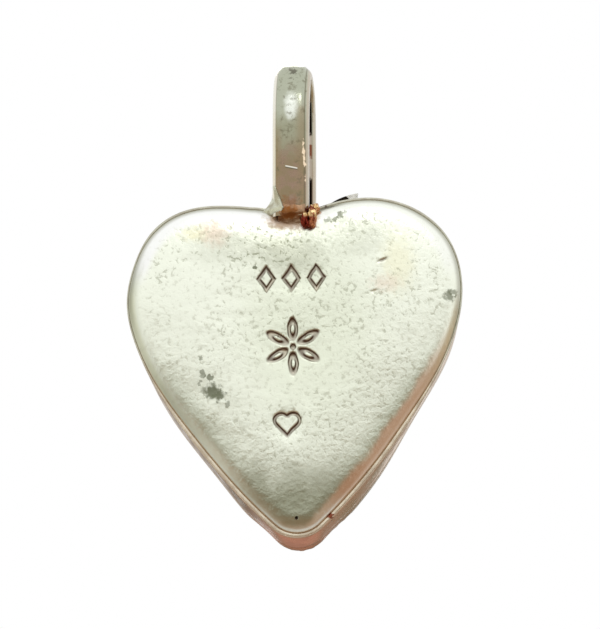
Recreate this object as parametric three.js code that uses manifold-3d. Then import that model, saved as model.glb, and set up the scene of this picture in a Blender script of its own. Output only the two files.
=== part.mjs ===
// Silver heart pendant, in millimetres, +Z up as it hangs, front facing -Y, back facing +Y.
// A hollow heart body (back plate, side wall, front plate) hangs from a fixed strap bail that stands
// in the cleft. The front carries a rope border and a raised flower spray.
// The origin is the top of the bail's opening, where the chain bears.
// The pieces are laid out on a bench frame first: z = 0 is the line of the lobe tops, y = 0 is the
// middle of the side wall's depth.

import * as THREE from 'three';
import { mergeVertices } from 'three/addons/utils/BufferGeometryUtils.js';
import Module from 'manifold-3d';

// Heart outline at the back edge of the side wall
const heartWidth = 19.0;
const heartHeight = 19.6; // lobe tops to tip
const lobeSpacing = 8.3; // between the tops of the two lobes
const widestDrop = 5.4; // lobe tops down to the widest line
const cleftDrop = 0.8; // lobe tops down to the bottom of the cleft
const tipRadius = 2.1;
const tipAngle = 46; // degrees below level, seen from the tip arc's centre, where each flank meets it

// How full the curves are: the length of each handle as a share of the span that it crosses
const cleftFullness = 0.22;
const lobeInnerFullness = 0.61;
const lobeOuterFullness = 0.56;
const shoulderFullness = 0.63;
const flankFullness = 0.25;
const tipFullness = 0.35;

// Side wall
const wallDepth = 2.2;
const wallThickness = 0.6;
const wallNarrowing = 0.35; // the wall's front edge stands this far inside its back edge
const frontTipReach = 0.05; // the wall's front tip hangs this far below its back tip
const lipWidth = 0.2; // rim of the wall left showing round the back plate
const lipChamfer = 0.06;

// Back plate
const backSheet = 0.7;
const backEdgeWidth = 0.9; // rounded edge, measured in from the plate's outline
const backEdgeRise = 0.5; // rounded edge, measured out from the wall
const backDomeRise = 0.3; // further rise from the rounded edge to the flat land
const backDomeFullness = 0.75; // share of that rise reached halfway in
const backLandWidth = 9.0; // flat land in the middle of the back
const ventRadius = 0.15; // pinhole that lets the hollow body breathe
const ventRise = 1.15; // above the tip
const ventShift = -0.38; // beside the tip

// Front plate and rope border
const frontSheet = 0.6;
const frontChamfer = 0.1;
const borderWire = 0.7;
const borderInset = 0.1; // the wire's outer side, from the front plate's edge
const borderStart = 1.5; // the border starts this far right of the middle, beside the bail
const borderEnd = 3.9; // and ends this far left of the middle, at the upper leaf

// Bail
const bailWidth = 2.1;
const bailThickness = 1.1;
const bailSpread = 3.3; // between the middles of the two legs
const bailRise = 8.2; // lobe tops up to the outside of the loop
const bailRounding = 0.45; // radius of the strap's long edges
const bailSetback = -0.3; // the bail's middle, in front of the wall's middle
const bailShift = -0.02; // the bail's middle, beside the heart's middle
const bailLean = -0.9; // degrees sideways
const bailTwist = -3.3; // degrees about its own upright axis

// Solder at the bail's foot: place and half-sizes of each lump
const webReach = 0.6; // the web's spread along the right lobe
const webRise = 0.75; // the web's height up the bail
const webDepth = 1.1;
const webHollow = [0.3, 0.35]; // the web's slope sags in to these shares of its reach and rise
const lumpSize = [0.55, 0.42, 0.85];
const lumpInset = 0.1; // the lump's middle, inside the bail's left side
const padSize = [0.85, 0.5, 0.85];
const padInset = 0.28; // the back pad's middle, right of the bail's middle
const solderDrop = 0.3; // middles of lump and pads, below the cleft
const solderSink = 0.28; // middles of lump and back pad, inside the back leg's outer face
const frontPadSize = [0.95, 0.4, 0.75];

// Flower spray on the front: a tulip on its stem between the bail's foot and the tip
const petalRise = 0.55; // how far petals and leaves stand off the front plate
const petalGap = 0.16; // between neighbouring pieces of the flower
const sprayShift = 0.55; // middle of the spray, below the middle of the heart's height
const tulipHeight = 6.2;
const tulipWidth = 6.8;
const middlePetalWidth = 2.5;
const stemLength = 4.2;
const stemWire = 0.7;
const stemBow = 0.35; // sideways bow of the stem
const lowerLeafLength = 4.6;
const lowerLeafWidth = 1.7;
const lowerLeafAngle = 42; // degrees above level
const lowerLeafRise = 0.9; // foot of the lower leaves above the foot of the stem
const upperLeafLength = 3.1;
const upperLeafWidth = 1.45;
const raisedLeafFoot = [-1.32, -1.15]; // from the bail's middle
const raisedLeafAngle = 136; // the left upper leaf points up across the rim
const restingLeafFoot = [1.45, -2.05];
const restingLeafAngle = -18; // the right upper leaf lies inside the rim
const scrollWire = 0.6;
const scrollEye = 0.5; // radius at the scroll's inner end
const scrollPitch = 0.72; // the scroll closes in by this much in a turn
const scrollGap = 0.35; // from the border wire to the scroll
const scrollTulipGap = 0.15; // from the tulip's widest line to the scroll
const scrollRise = 1.85; // the tulip's foot up to the scroll's middle
const bossRadius = 1.15;
const bossRise = 0.8;
const bossInset = 3.75; // widest point of the heart in to the boss's middle
const bossDrop = 4.4; // lobe's top down to the boss's middle
const granuleRadius = 0.42;
const granuleSpacing = 1.0;

// How the raised pieces are drawn: shares of their own length, width and height
const leafCurve = { foot: 0.2, belly: 0.75, shoulder: 0.6, upper: 0.65 };
const middlePetalCurve = { belly: 1.5, shoulder: 1.2, pull: 0.3 };
const sidePetalCurve = { belly: 1.1, rise: 0.4, hollow: 0.45, waist: 0.72, lean: 0.8, pinch: 0.72 };
const swell = [[0, 0], [0, 0.4], [0.12, 0.8], [0.4, 1]]; // drawn in, risen

// Fit between pieces, and fineness of the curves
const seamGap = 0.02; // solder film between neighbouring pieces
const outlineSteps = [6, 9, 11, 4]; // cleft, lobe, flank and tip of half the heart
const backEdgeSteps = 4;
const wireSides = 8;
const strapCornerSteps = 3;
const strapSteps = 44;
const lumpSegments = [14, 10]; // round and from pole to pole
const leafSteps = 20;
const petalSteps = 24;
const stemSteps = 8;
const scrollSteps = 28;
const bossSides = 16;
const bossRows = 4;
const granuleSegments = [10, 8];

const backFaceY = wallDepth / 2;
const frontFaceY = -(wallDepth / 2 + seamGap + frontSheet);
const ornamentY = frontFaceY - seamGap;
const radians = THREE.MathUtils.degToRad;

const wasm = await Module();
wasm.setup();

// Solids from rings

// Joins a row of closed rings, each with as many points, into one closed body with its faces out.
// A looped row joins its last ring to its first, and any other is capped by fans.
function skin(rings, looped = false) {
  const count = rings[0].length;
  const points = rings.flat();
  const faces = [];
  const spans = looped ? rings.length : rings.length - 1;
  for (let r = 0; r < spans; r++) {
    const next = (r + 1) % rings.length;
    for (let i = 0; i < count; i++) {
      const j = (i + 1) % count;
      faces.push(r * count + i, r * count + j, next * count + j);
      faces.push(r * count + i, next * count + j, next * count + i);
    }
  }
  if (!looped) {
    for (const [r, turn] of [[0, false], [rings.length - 1, true]]) {
      const middle = points.length;
      points.push(middleOf(rings[r]));
      for (let i = 0; i < count; i++) {
        const a = r * count + i;
        const b = r * count + ((i + 1) % count);
        faces.push(...(turn ? [middle, a, b] : [middle, b, a]));
      }
    }
  }
  const geometry = new THREE.BufferGeometry().setFromPoints(points);
  geometry.setIndex(signedVolume(points, faces) > 0 ? faces : faces.reverse());
  geometry.computeVertexNormals();
  return geometry;
}

function middleOf(ring) {
  const sum = ring.reduce((total, point) => total.add(point), new THREE.Vector3());
  return sum.divideScalar(ring.length);
}

function signedVolume(points, faces) {
  let total = 0;
  const cross = new THREE.Vector3();
  for (let f = 0; f < faces.length; f += 3) {
    cross.crossVectors(points[faces[f + 1]], points[faces[f + 2]]);
    total += points[faces[f]].dot(cross);
  }
  return total;
}

// A flat outline stood up as a ring at one depth.
function ringAt(outline, y) {
  return outline.map((point) => new THREE.Vector3(point.x, y, point.y));
}

// Moves a closed outline inwards along its normals.
function inset(outline, distance) {
  const count = outline.length;
  const anticlockwise = THREE.ShapeUtils.area(outline) > 0 ? 1 : -1;
  return outline.map((point, i) => {
    const ahead = outline[(i + 1) % count].clone().sub(point).normalize();
    const behind = point.clone().sub(outline[(i + count - 1) % count]).normalize();
    const along = ahead.add(behind).normalize();
    const inward = new THREE.Vector2(-along.y, along.x).multiplyScalar(anticlockwise * distance);
    return point.clone().add(inward);
  });
}

// Draws a closed outline in towards its middle by a share of its size.
function shrink(outline, share) {
  const sum = outline.reduce((total, point) => total.add(point), new THREE.Vector2());
  const middle = sum.divideScalar(outline.length);
  return outline.map((point) => point.clone().lerp(middle, share));
}

// Cuts with closed meshes

function toSolid(geometry) {
  const bare = geometry.clone();
  bare.deleteAttribute('normal');
  bare.deleteAttribute('uv');
  const merged = mergeVertices(bare);
  return new wasm.Manifold(new wasm.Mesh({
    numProp: 3,
    vertProperties: new Float32Array(merged.attributes.position.array),
    triVerts: new Uint32Array(merged.index.array),
  }));
}

function toGeometry(solid) {
  const mesh = solid.getMesh();
  const geometry = new THREE.BufferGeometry();
  geometry.setAttribute('position', new THREE.BufferAttribute(mesh.vertProperties, 3));
  geometry.setIndex(new THREE.BufferAttribute(mesh.triVerts, 1));
  geometry.computeVertexNormals();
  return geometry;
}

// Heart outline

// The heart's closed outline in front view, from the cleft round the right side, tip and left side.
function heartOutline(halfWidth, top, tip) {
  const lobeX = lobeSpacing / 2;
  const widest = top - widestDrop;
  const cleft = top - cleftDrop;
  const arcMiddle = tip + tipRadius;
  const arcX = tipRadius * Math.cos(radians(tipAngle));
  const arcZ = arcMiddle - tipRadius * Math.sin(radians(tipAngle));
  const span = Math.hypot(halfWidth - arcX, widest - arcZ);
  const slopeX = Math.sin(radians(tipAngle));
  const slopeZ = Math.cos(radians(tipAngle));
  const half = new THREE.Path();
  half.moveTo(0, cleft);
  half.bezierCurveTo(lobeX * cleftFullness, cleft, lobeX * (1 - lobeInnerFullness), top, lobeX, top);
  half.bezierCurveTo(
    lobeX + (halfWidth - lobeX) * lobeOuterFullness, top,
    halfWidth, widest + widestDrop * shoulderFullness,
    halfWidth, widest,
  );
  half.bezierCurveTo(
    halfWidth, widest - span * flankFullness,
    arcX + slopeX * span * tipFullness, arcZ + slopeZ * span * tipFullness,
    arcX, arcZ,
  );
  half.absarc(0, arcMiddle, tipRadius, -radians(tipAngle), -Math.PI / 2, true);
  const right = [new THREE.Vector2(0, cleft)];
  half.curves.forEach((curve, i) => right.push(...curve.getSpacedPoints(outlineSteps[i]).slice(1)));
  const left = right.slice(1, -1).reverse().map((point) => new THREE.Vector2(-point.x, point.y));
  return [...right, ...left];
}

const backOutline = heartOutline(heartWidth / 2, 0, -heartHeight);
const frontOutline = heartOutline(
  heartWidth / 2 - wallNarrowing,
  -wallNarrowing,
  -heartHeight - frontTipReach,
);

// Body

function sideWall() {
  return skin([
    ringAt(frontOutline, -wallDepth / 2),
    ringAt(backOutline, backFaceY - lipChamfer),
    ringAt(inset(backOutline, lipChamfer), backFaceY),
    ringAt(inset(backOutline, wallThickness), backFaceY),
    ringAt(inset(frontOutline, wallThickness), -wallDepth / 2),
  ], true);
}

// The plate's outer face rises round a quarter curve at its edge, then gently to a flat land.
// Its inner face follows one sheet thickness below, and its edge rests on the wall.
function backPlate(grow = 0) {
  const outline = inset(backOutline, lipWidth - grow);
  const seat = backFaceY + seamGap - grow;
  const landShare = 1 - backLandWidth / heartWidth;
  const edgeY = seat + backEdgeRise + 2 * grow;
  const rings = [];
  for (let i = 0; i <= backEdgeSteps; i++) {
    const turn = (i / backEdgeSteps) * (Math.PI / 2);
    const step = inset(outline, backEdgeWidth * (1 - Math.cos(turn)));
    rings.push(ringAt(step, seat + (edgeY - seat) * Math.sin(turn)));
  }
  const edge = inset(outline, backEdgeWidth);
  const land = shrink(edge, landShare);
  const middle = shrink(edge, landShare / 2);
  const middleY = edgeY + backDomeRise * backDomeFullness;
  const landY = edgeY + backDomeRise;
  rings.push(ringAt(middle, middleY), ringAt(land, landY));
  const seatInset = wallThickness - lipWidth;
  const inner = [
    ringAt(land, landY - backSheet),
    ringAt(middle, middleY - backSheet),
    ringAt(inset(outline, seatInset + backEdgeWidth), seat),
  ];
  return skin(grow > 0 ? rings : [...inner, ...rings]);
}

function ventedPlate() {
  const drill = new THREE.ExtrudeGeometry(circleShape(ventRadius, wireSides), {
    depth: backFaceY + backEdgeRise + backDomeRise + backSheet,
    bevelEnabled: false,
  });
  drill.rotateX(-Math.PI / 2);
  drill.translate(ventShift, 0, -heartHeight + ventRise);
  return toGeometry(toSolid(backPlate()).subtract(toSolid(drill)));
}

function frontPlate() {
  const back = frontFaceY + frontSheet;
  return skin([
    ringAt(frontOutline, back),
    ringAt(frontOutline, frontFaceY + frontChamfer),
    ringAt(inset(frontOutline, frontChamfer), frontFaceY),
  ]);
}

// The rope border runs just inside the front plate's edge, from beside the bail round the right lobe,
// the tip and the left flank to the upper leaf.
function borderPath() {
  const track = inset(frontOutline, borderInset + borderWire / 2);
  const y = ornamentY - borderWire / 2;
  const kept = track.filter((point) => {
    const nearTop = point.y > -widestDrop;
    return !nearTop || point.x > borderStart || point.x < -borderEnd;
  });
  return new THREE.CatmullRomCurve3(ringAt(kept, y));
}

function circleShape(radius, sides) {
  const corners = [];
  for (let i = 0; i < sides; i++) {
    const turn = (i / sides) * 2 * Math.PI;
    corners.push(new THREE.Vector2(radius * Math.cos(turn), radius * Math.sin(turn)));
  }
  return new THREE.Shape(corners);
}

function wireAlong(path, diameter, steps) {
  return new THREE.ExtrudeGeometry(circleShape(diameter / 2, wireSides), {
    steps,
    extrudePath: path,
  });
}

function borderRope() {
  const path = borderPath();
  return wireAlong(path, borderWire, path.points.length);
}

// Bail

// The strap's middle line: up the front leg, over the top and down the back leg.
class StrapLine extends THREE.Curve {
  constructor(foot, shoulder, radius) {
    super();
    this.foot = foot;
    this.shoulder = shoulder;
    this.radius = radius;
  }

  getPoint(t, target = new THREE.Vector3()) {
    const leg = this.shoulder - this.foot;
    const bend = Math.PI * this.radius;
    const run = t * (2 * leg + bend);
    if (run < leg) {
      return target.set(0, -this.radius, this.foot + run);
    }
    if (run > leg + bend) {
      return target.set(0, this.radius, this.shoulder - (run - leg - bend));
    }
    const turn = (run - leg) / this.radius;
    const y = -this.radius * Math.cos(turn);
    return target.set(0, y, this.shoulder + this.radius * Math.sin(turn));
  }
}

// A flat bar with rounded long edges.
function strapSection(grow) {
  const radius = bailRounding + grow;
  const x = bailThickness / 2 - bailRounding;
  const y = bailWidth / 2 - bailRounding;
  const corners = [];
  for (const [quarter, [signX, signY]] of [[1, 1], [-1, 1], [-1, -1], [1, -1]].entries()) {
    for (let i = 0; i <= strapCornerSteps; i++) {
      const turn = (quarter + i / strapCornerSteps) * (Math.PI / 2);
      const across = signX * x + radius * Math.cos(turn);
      corners.push(new THREE.Vector2(across, signY * y + radius * Math.sin(turn)));
    }
  }
  return new THREE.Shape(corners);
}

const bailRadius = bailSpread / 2;
const bailShoulder = bailRise - bailThickness / 2 - bailRadius;
const bailFoot = -cleftDrop - bailThickness;

// The strap in place, leaning and twisted a little about the foot of the cleft.
const bailPlace = new THREE.Matrix4()
  .makeTranslation(bailShift, bailSetback, -cleftDrop)
  .multiply(new THREE.Matrix4().makeRotationFromEuler(
    new THREE.Euler(0, radians(bailLean), radians(bailTwist)),
  ))
  .multiply(new THREE.Matrix4().makeTranslation(0, 0, cleftDrop));

function strap(grow = 0) {
  const geometry = new THREE.ExtrudeGeometry(strapSection(grow), {
    steps: strapSteps,
    extrudePath: new StrapLine(bailFoot, bailShoulder, bailRadius),
  });
  return toSolid(geometry.applyMatrix4(bailPlace));
}

// The heart as one block, grown a little, for cutting whatever stands on its edge.
function heartBlock(grow) {
  const deep = wallDepth + bailSpread;
  const outline = inset(backOutline, -grow);
  return toSolid(skin([ringAt(outline, -deep), ringAt(outline, deep)]));
}

function wallBlock(grow) {
  return toSolid(skin([
    ringAt(inset(frontOutline, -grow), frontFaceY - grow),
    ringAt(inset(frontOutline, -grow), -wallDepth / 2),
    ringAt(inset(backOutline, -grow), backFaceY + grow),
  ]));
}

// The strap ends where it meets the heart's edge.
function bail(grow = 0) {
  return strap(grow).subtract(heartBlock(seamGap - grow));
}

// Solder

function grown(size, grow) {
  return size.map((half) => half + grow);
}

function lump(size, place) {
  const ball = new THREE.SphereGeometry(1, ...lumpSegments);
  ball.scale(...size);
  ball.translate(...place);
  return toSolid(ball);
}

// Whatever of a lump is left outside the bail, the wall and the back plate.
function soldered(rough) {
  const body = wallBlock(seamGap).add(toSolid(backPlate(seamGap)));
  return toGeometry(rough.subtract(bail(seamGap)).subtract(body));
}

const legY = bailSetback + bailSpread / 2;
const solderY = legY + bailThickness / 2 - solderSink;
const solderZ = -cleftDrop - solderDrop;
const lumpX = bailShift + lumpInset - bailWidth / 2;

function solderWeb() {
  const side = bailShift + bailWidth / 2;
  const near = side - bailRounding;
  const low = -cleftDrop - seamGap;
  const [across, up] = webHollow;
  const corners = [
    new THREE.Vector2(near, low),
    new THREE.Vector2(side + webReach, low),
    new THREE.Vector2(side + webReach * across, webRise * up),
    new THREE.Vector2(near, webRise),
  ];
  const front = legY - webDepth / 2;
  const web = toSolid(skin([ringAt(corners, front), ringAt(corners, front + webDepth)]));
  return web.subtract(roughPad(seamGap));
}

function solderLump(grow = 0) {
  return lump(grown(lumpSize, grow), [lumpX, solderY, solderZ]);
}

function roughPad(grow = 0) {
  return lump(grown(padSize, grow), [bailShift + padInset, solderY, solderZ]);
}

function backPad() {
  return roughPad().subtract(solderLump(seamGap));
}

function frontPad() {
  const y = legY - bailSpread - bailThickness / 2 + frontPadSize[1] / 2;
  return lump(frontPadSize, [0, y, solderZ - wallNarrowing]);
}

// Flower spray

// A raised piece with a flat underside: its outline swells up to a rounded top.
function raised(outline, rise) {
  const rings = swell.map(([drawnIn, risen]) => {
    return ringAt(shrink(outline, drawnIn), ornamentY - risen * rise);
  });
  return skin(rings);
}

function closedPoints(path, divisions) {
  return path.getSpacedPoints(divisions).slice(0, -1);
}

// A pointed leaf from its foot along an angle, fuller near the foot.
function leaf(foot, length, width, angle) {
  const { foot: near, belly, shoulder, upper } = leafCurve;
  const path = new THREE.Path();
  path.bezierCurveTo(length * near, width * belly, length * shoulder, width * upper, length, 0);
  path.bezierCurveTo(length * shoulder, -width * upper, length * near, -width * belly, 0, 0);
  const origin = new THREE.Vector2();
  const outline = closedPoints(path, leafSteps).map((point) => {
    return point.rotateAround(origin, radians(angle)).add(foot);
  });
  return raised(outline, petalRise);
}

const sprayHeight = tulipHeight + 2 * petalGap + stemLength;
const petalTopZ = (sprayHeight - heartHeight) / 2 - sprayShift;
const petalFootZ = petalTopZ - tulipHeight;
const stemTopZ = petalFootZ - 2 * petalGap;
const stemFootZ = stemTopZ - stemLength;

function middlePetal() {
  const { belly, shoulder, pull } = middlePetalCurve;
  const half = middlePetalWidth / 2;
  const low = petalFootZ + tulipHeight * pull;
  const high = petalTopZ - tulipHeight * pull;
  const path = new THREE.Path();
  path.moveTo(0, petalFootZ);
  path.bezierCurveTo(half * belly, low, half * shoulder, high, 0, petalTopZ);
  path.bezierCurveTo(-half * shoulder, high, -half * belly, low, 0, petalFootZ);
  return raised(closedPoints(path, petalSteps), petalRise);
}

// The outer petals hug the middle one from foot to waist, then part from it to a tip of their own.
function sidePetal(side) {
  const { belly, rise, hollow, waist, lean, pinch } = sidePetalCurve;
  const near = side * (middlePetalWidth / 2 + petalGap);
  const far = side * tulipWidth / 2;
  const foot = new THREE.Vector2(side * petalGap, petalFootZ - petalGap);
  const parting = new THREE.Vector2(near, petalFootZ + tulipHeight * hollow);
  const waistZ = petalFootZ + tulipHeight * waist;
  const path = new THREE.Path();
  path.moveTo(foot.x, foot.y);
  path.bezierCurveTo(far, petalFootZ, far * belly, petalFootZ + tulipHeight * rise, far, petalTopZ);
  path.bezierCurveTo(far * lean, waistZ, near * belly, waistZ, parting.x, parting.y);
  path.bezierCurveTo(
    near, petalFootZ + tulipHeight * hollow / 2,
    near * pinch, petalFootZ + tulipHeight * hollow / 4,
    foot.x, foot.y,
  );
  return raised(closedPoints(path, petalSteps), petalRise);
}

function stem() {
  const y = ornamentY - stemWire / 2;
  const path = new THREE.CatmullRomCurve3([
    new THREE.Vector3(0, y, stemTopZ),
    new THREE.Vector3(stemBow, y, (stemTopZ + stemFootZ) / 2),
    new THREE.Vector3(0, y, stemFootZ),
  ]);
  return wireAlong(path, stemWire, stemSteps);
}

function lowerLeaf(side) {
  const foot = new THREE.Vector2(side * (stemWire / 2 + petalGap), stemFootZ + lowerLeafRise);
  const angle = side > 0 ? lowerLeafAngle : 180 - lowerLeafAngle;
  return leaf(foot, lowerLeafLength, lowerLeafWidth, angle);
}

function besideBail([across, up]) {
  return [bailShift + across, up];
}

function upperLeaf(foot, angle) {
  return leaf(new THREE.Vector2(...foot), upperLeafLength, upperLeafWidth, angle);
}

// A wire that winds in on itself in front view.
class ScrollLine extends THREE.Curve {
  constructor(middle, radius, side) {
    super();
    this.middle = middle;
    this.radius = radius;
    this.side = side;
  }

  getPoint(t, target = new THREE.Vector3()) {
    const radius = this.radius + (scrollEye - this.radius) * t;
    const turn = ((this.radius - radius) / scrollPitch) * 2 * Math.PI + Math.PI / 2;
    const x = this.middle.x + this.side * radius * Math.cos(turn);
    return target.set(x, this.middle.y, this.middle.z + radius * Math.sin(turn));
  }
}

// Each scroll fills the room between the tulip and the border: the largest circle at its height that
// stays clear of both.
function scroll(side) {
  const z = petalFootZ + scrollRise;
  const near = tulipWidth / 2 + scrollTulipGap;
  const clear = borderInset + borderWire + scrollGap;
  const far = inset(frontOutline, clear).filter((point) => point.x > near);
  const reach = Math.min(...far.map((point) => {
    const room = point.x - near;
    return (room ** 2 + (point.y - z) ** 2) / (2 * room);
  }));
  const middle = new THREE.Vector3(side * (near + reach), ornamentY - scrollWire / 2, z);
  return wireAlong(new ScrollLine(middle, reach - scrollWire / 2, side), scrollWire, scrollSteps);
}

function boss() {
  const dome = [];
  for (let i = 0; i <= bossRows; i++) {
    const turn = (i / bossRows) * (Math.PI / 2);
    dome.push(new THREE.Vector2(bossRadius * Math.cos(turn), bossRise * Math.sin(turn)));
  }
  dome[bossRows].x = 0;
  const geometry = new THREE.LatheGeometry([new THREE.Vector2(0, 0), ...dome], bossSides);
  return geometry.rotateX(Math.PI);
}

function granule() {
  return new THREE.SphereGeometry(granuleRadius, ...granuleSegments);
}

// Materials

function metal(color, roughness, metalness = 1) {
  return new THREE.MeshStandardMaterial({ color, roughness, metalness });
}

const paleSilver = metal('#dcdfd3', 0.34);
const wallSilver = metal('#b8a79b', 0.32);
const strapSilver = metal('#b5b09c', 0.28);
const darkSilver = metal('#4a443d', 0.55);
const brightSilver = metal('#cfcdc6', 0.25);
const redSolder = metal('#a4643f', 0.42);
const paleSolder = metal('#aeb09f', 0.36);

// Assembly

const bench = new THREE.Group();

function place(name, geometry, material, position = [0, 0, 0]) {
  const mesh = new THREE.Mesh(geometry, material);
  mesh.name = name;
  mesh.position.set(...position);
  bench.add(mesh);
}

place('back_plate', ventedPlate(), paleSilver);
place('side_wall', sideWall(), wallSilver);
place('front_plate', frontPlate(), darkSilver);
place('border_wire', borderRope(), brightSilver);
place('bail', toGeometry(bail()), strapSilver);
place('bail_solder_web', soldered(solderWeb()), paleSolder);
place('bail_solder_lump', soldered(solderLump()), redSolder);
place('bail_solder_back', soldered(backPad()), redSolder);
place('bail_solder_front', soldered(frontPad()), paleSolder);
place('tulip_middle_petal', middlePetal(), brightSilver);
place('tulip_right_petal', sidePetal(1), brightSilver);
place('tulip_left_petal', sidePetal(-1), brightSilver);
place('tulip_stem', stem(), brightSilver);
place('lower_right_leaf', lowerLeaf(1), brightSilver);
place('lower_left_leaf', lowerLeaf(-1), brightSilver);
place('upper_right_leaf', upperLeaf(restingLeafFoot, restingLeafAngle), brightSilver);
place('upper_left_leaf', upperLeaf(besideBail(raisedLeafFoot), raisedLeafAngle), brightSilver);
place('right_scroll', scroll(1), brightSilver);
place('left_scroll', scroll(-1), brightSilver);

const bossX = heartWidth / 2 - bossInset;
place('right_boss', boss(), brightSilver, [bossX, ornamentY, -bossDrop]);
place('left_boss', boss(), brightSilver, [-bossX, ornamentY, -bossDrop]);

// Two trios of granules: a crown over the tulip and a drop under the stem
const granuleY = ornamentY - granuleRadius;
for (const [trio, z, step] of [
  ['crown', petalTopZ + granuleSpacing, -granuleSpacing / 2],
  ['drop', stemFootZ - granuleSpacing, granuleSpacing / 2],
]) {
  place(`${trio}_granule_middle`, granule(), brightSilver, [0, granuleY, z]);
  place(`${trio}_granule_right`, granule(), brightSilver, [granuleSpacing, granuleY, z + step]);
  place(`${trio}_granule_left`, granule(), brightSilver, [-granuleSpacing, granuleY, z + step]);
}

// The whole pendant is shifted so that the chain's bearing point is the origin.
const bearing = new THREE.Vector3(0, 0, bailRise - bailThickness).applyMatrix4(bailPlace);
bench.position.copy(bearing).negate();

const pendant = new THREE.Group();
pendant.add(bench);

export default pendant;
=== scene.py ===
import math
import bmesh
import bpy
from mathutils import Matrix, Vector, noise
from mathutils.geometry import interpolate_bezier


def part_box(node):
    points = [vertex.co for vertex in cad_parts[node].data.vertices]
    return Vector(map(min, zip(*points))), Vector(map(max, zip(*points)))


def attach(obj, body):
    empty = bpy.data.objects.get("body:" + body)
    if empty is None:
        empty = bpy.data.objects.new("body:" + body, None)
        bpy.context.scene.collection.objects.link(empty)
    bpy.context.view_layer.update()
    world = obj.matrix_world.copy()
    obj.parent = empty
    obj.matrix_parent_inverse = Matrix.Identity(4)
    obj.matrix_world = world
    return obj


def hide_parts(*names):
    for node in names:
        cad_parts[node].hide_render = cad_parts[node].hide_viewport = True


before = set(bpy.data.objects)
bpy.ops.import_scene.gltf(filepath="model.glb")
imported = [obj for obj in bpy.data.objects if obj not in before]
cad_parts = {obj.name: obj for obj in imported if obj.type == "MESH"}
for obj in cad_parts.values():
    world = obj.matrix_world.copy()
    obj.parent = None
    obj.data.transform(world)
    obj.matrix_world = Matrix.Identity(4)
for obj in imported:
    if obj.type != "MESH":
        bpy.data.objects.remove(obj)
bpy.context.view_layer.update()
mm = 0.001

# All pieces are laid out on a bench in millimetres: x from the heart's middle line, y from the middle of
# the side wall's depth (the front faces -Y), z from the lobe tops.
heart = {
    "width": 19.0,
    "height": 19.6,
    "lobeSpacing": 8.3,
    "widestDrop": 5.4,
    "cleftDrop": 0.8,
    "tipRadius": 2.1,
    "tipAngle": 46,
    "wallDepth": 2.2,
    "narrowing": 0.35,  # the front edge stands this far inside the back edge
    "frontTipReach": 0.05,
    "steps": 320,
}
wallLow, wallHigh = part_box("side_wall")
benchOrigin = Vector((
    (wallLow.x + wallHigh.x) / 2,
    wallHigh.y - heart["wallDepth"] / 2 * mm,
    wallHigh.z,
))
bench = Matrix.Translation(benchOrigin) @ Matrix.Scale(mm, 4)
print("bench origin", [round(v / mm, 3) for v in benchOrigin])


def tone(red, green, blue):  # a colour as seen on screen, as the linear values that shaders use
    def linear(value):
        share = value / 255
        return share / 12.92 if share <= 0.04045 else ((share + 0.055) / 1.055) ** 2.4
    return (linear(red), linear(green), linear(blue), 1.0)


def smoothStep(low, high, value):
    share = min(1.0, max(0.0, (value - low) / (high - low)))
    return share * share * (3 - 2 * share)


# Lines and rings

def evenSteps(line, count):  # count points at even steps along a line, without its last point
    lengths = [0.0]
    for a, b in zip(line, line[1:]):
        lengths.append(lengths[-1] + (b - a).length)
    even = []
    span = 0
    for i in range(count):
        goal = lengths[-1] * i / count
        while lengths[span + 1] < goal:
            span += 1
        share = (goal - lengths[span]) / (lengths[span + 1] - lengths[span])
        even.append(line[span].lerp(line[span + 1], share))
    return even


def bezierLine(spans, steps=40):  # spans of knot, handle, handle, knot, as (x, z) pairs
    line = [Vector((spans[0][0][0], 0, spans[0][0][1]))]
    for span in spans:
        line += interpolate_bezier(*[Vector((x, 0, z)) for x, z in span], steps)[1:]
    return line


def heartEdge(share=0.0):  # the wall's outline, from its back edge (0) to its front edge (1)
    narrowed = heart["narrowing"] * share
    half = heart["width"] / 2 - narrowed
    top = -narrowed
    tip = -heart["height"] - heart["frontTipReach"] * share
    lobe = heart["lobeSpacing"] / 2
    widest = top - heart["widestDrop"]
    cleft = top - heart["cleftDrop"]
    angle = math.radians(heart["tipAngle"])
    radius = heart["tipRadius"]
    arcX = radius * math.cos(angle)
    arcZ = tip + radius - radius * math.sin(angle)
    flank = math.hypot(half - arcX, widest - arcZ)
    handle = radius * 4 / 3 * math.tan((math.pi / 2 - angle) / 4)
    line = bezierLine([
        ((0, cleft), (lobe * 0.22, cleft), (lobe * 0.39, top), (lobe, top)),
        ((lobe, top), (lobe + (half - lobe) * 0.56, top),
         (half, widest + heart["widestDrop"] * 0.63), (half, widest)),
        ((half, widest), (half, widest - flank * 0.25),
         (arcX + math.sin(angle) * flank * 0.35, arcZ + math.cos(angle) * flank * 0.35), (arcX, arcZ)),
        ((arcX, arcZ), (arcX - math.sin(angle) * handle, arcZ - math.cos(angle) * handle),
         (handle, tip), (0, tip)),
    ])
    right = evenSteps(line, heart["steps"] // 2)
    left = [Vector((-p.x, 0, p.z)) for p in reversed(right[1:])]
    return right + [Vector((0, 0, tip))] + left


def lipShare(z):  # the wall's lip shows at its full width at the tip and is narrow on the flanks
    return 0.45 + 0.55 * smoothStep(-9.5, -14.0, z) + 0.3 * smoothStep(-3.0, -0.8, z)


def drawIn(ring, distance):  # moves a ring inwards along its normals
    moved = []
    for behind, point, ahead in zip(ring[-1:] + ring, ring, ring[1:] + ring[:1]):
        along = (ahead - behind).normalized()
        moved.append(point + Vector((along.z, 0, -along.x)) * distance)
    return moved


def shrinkTo(ring, middle, share):
    return [point.lerp(middle, share) for point in ring]


def atDepth(ring, y):
    return [Vector((point.x, y, point.z)) for point in ring]


# Skins made by extruding a ring of edges again and again

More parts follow.
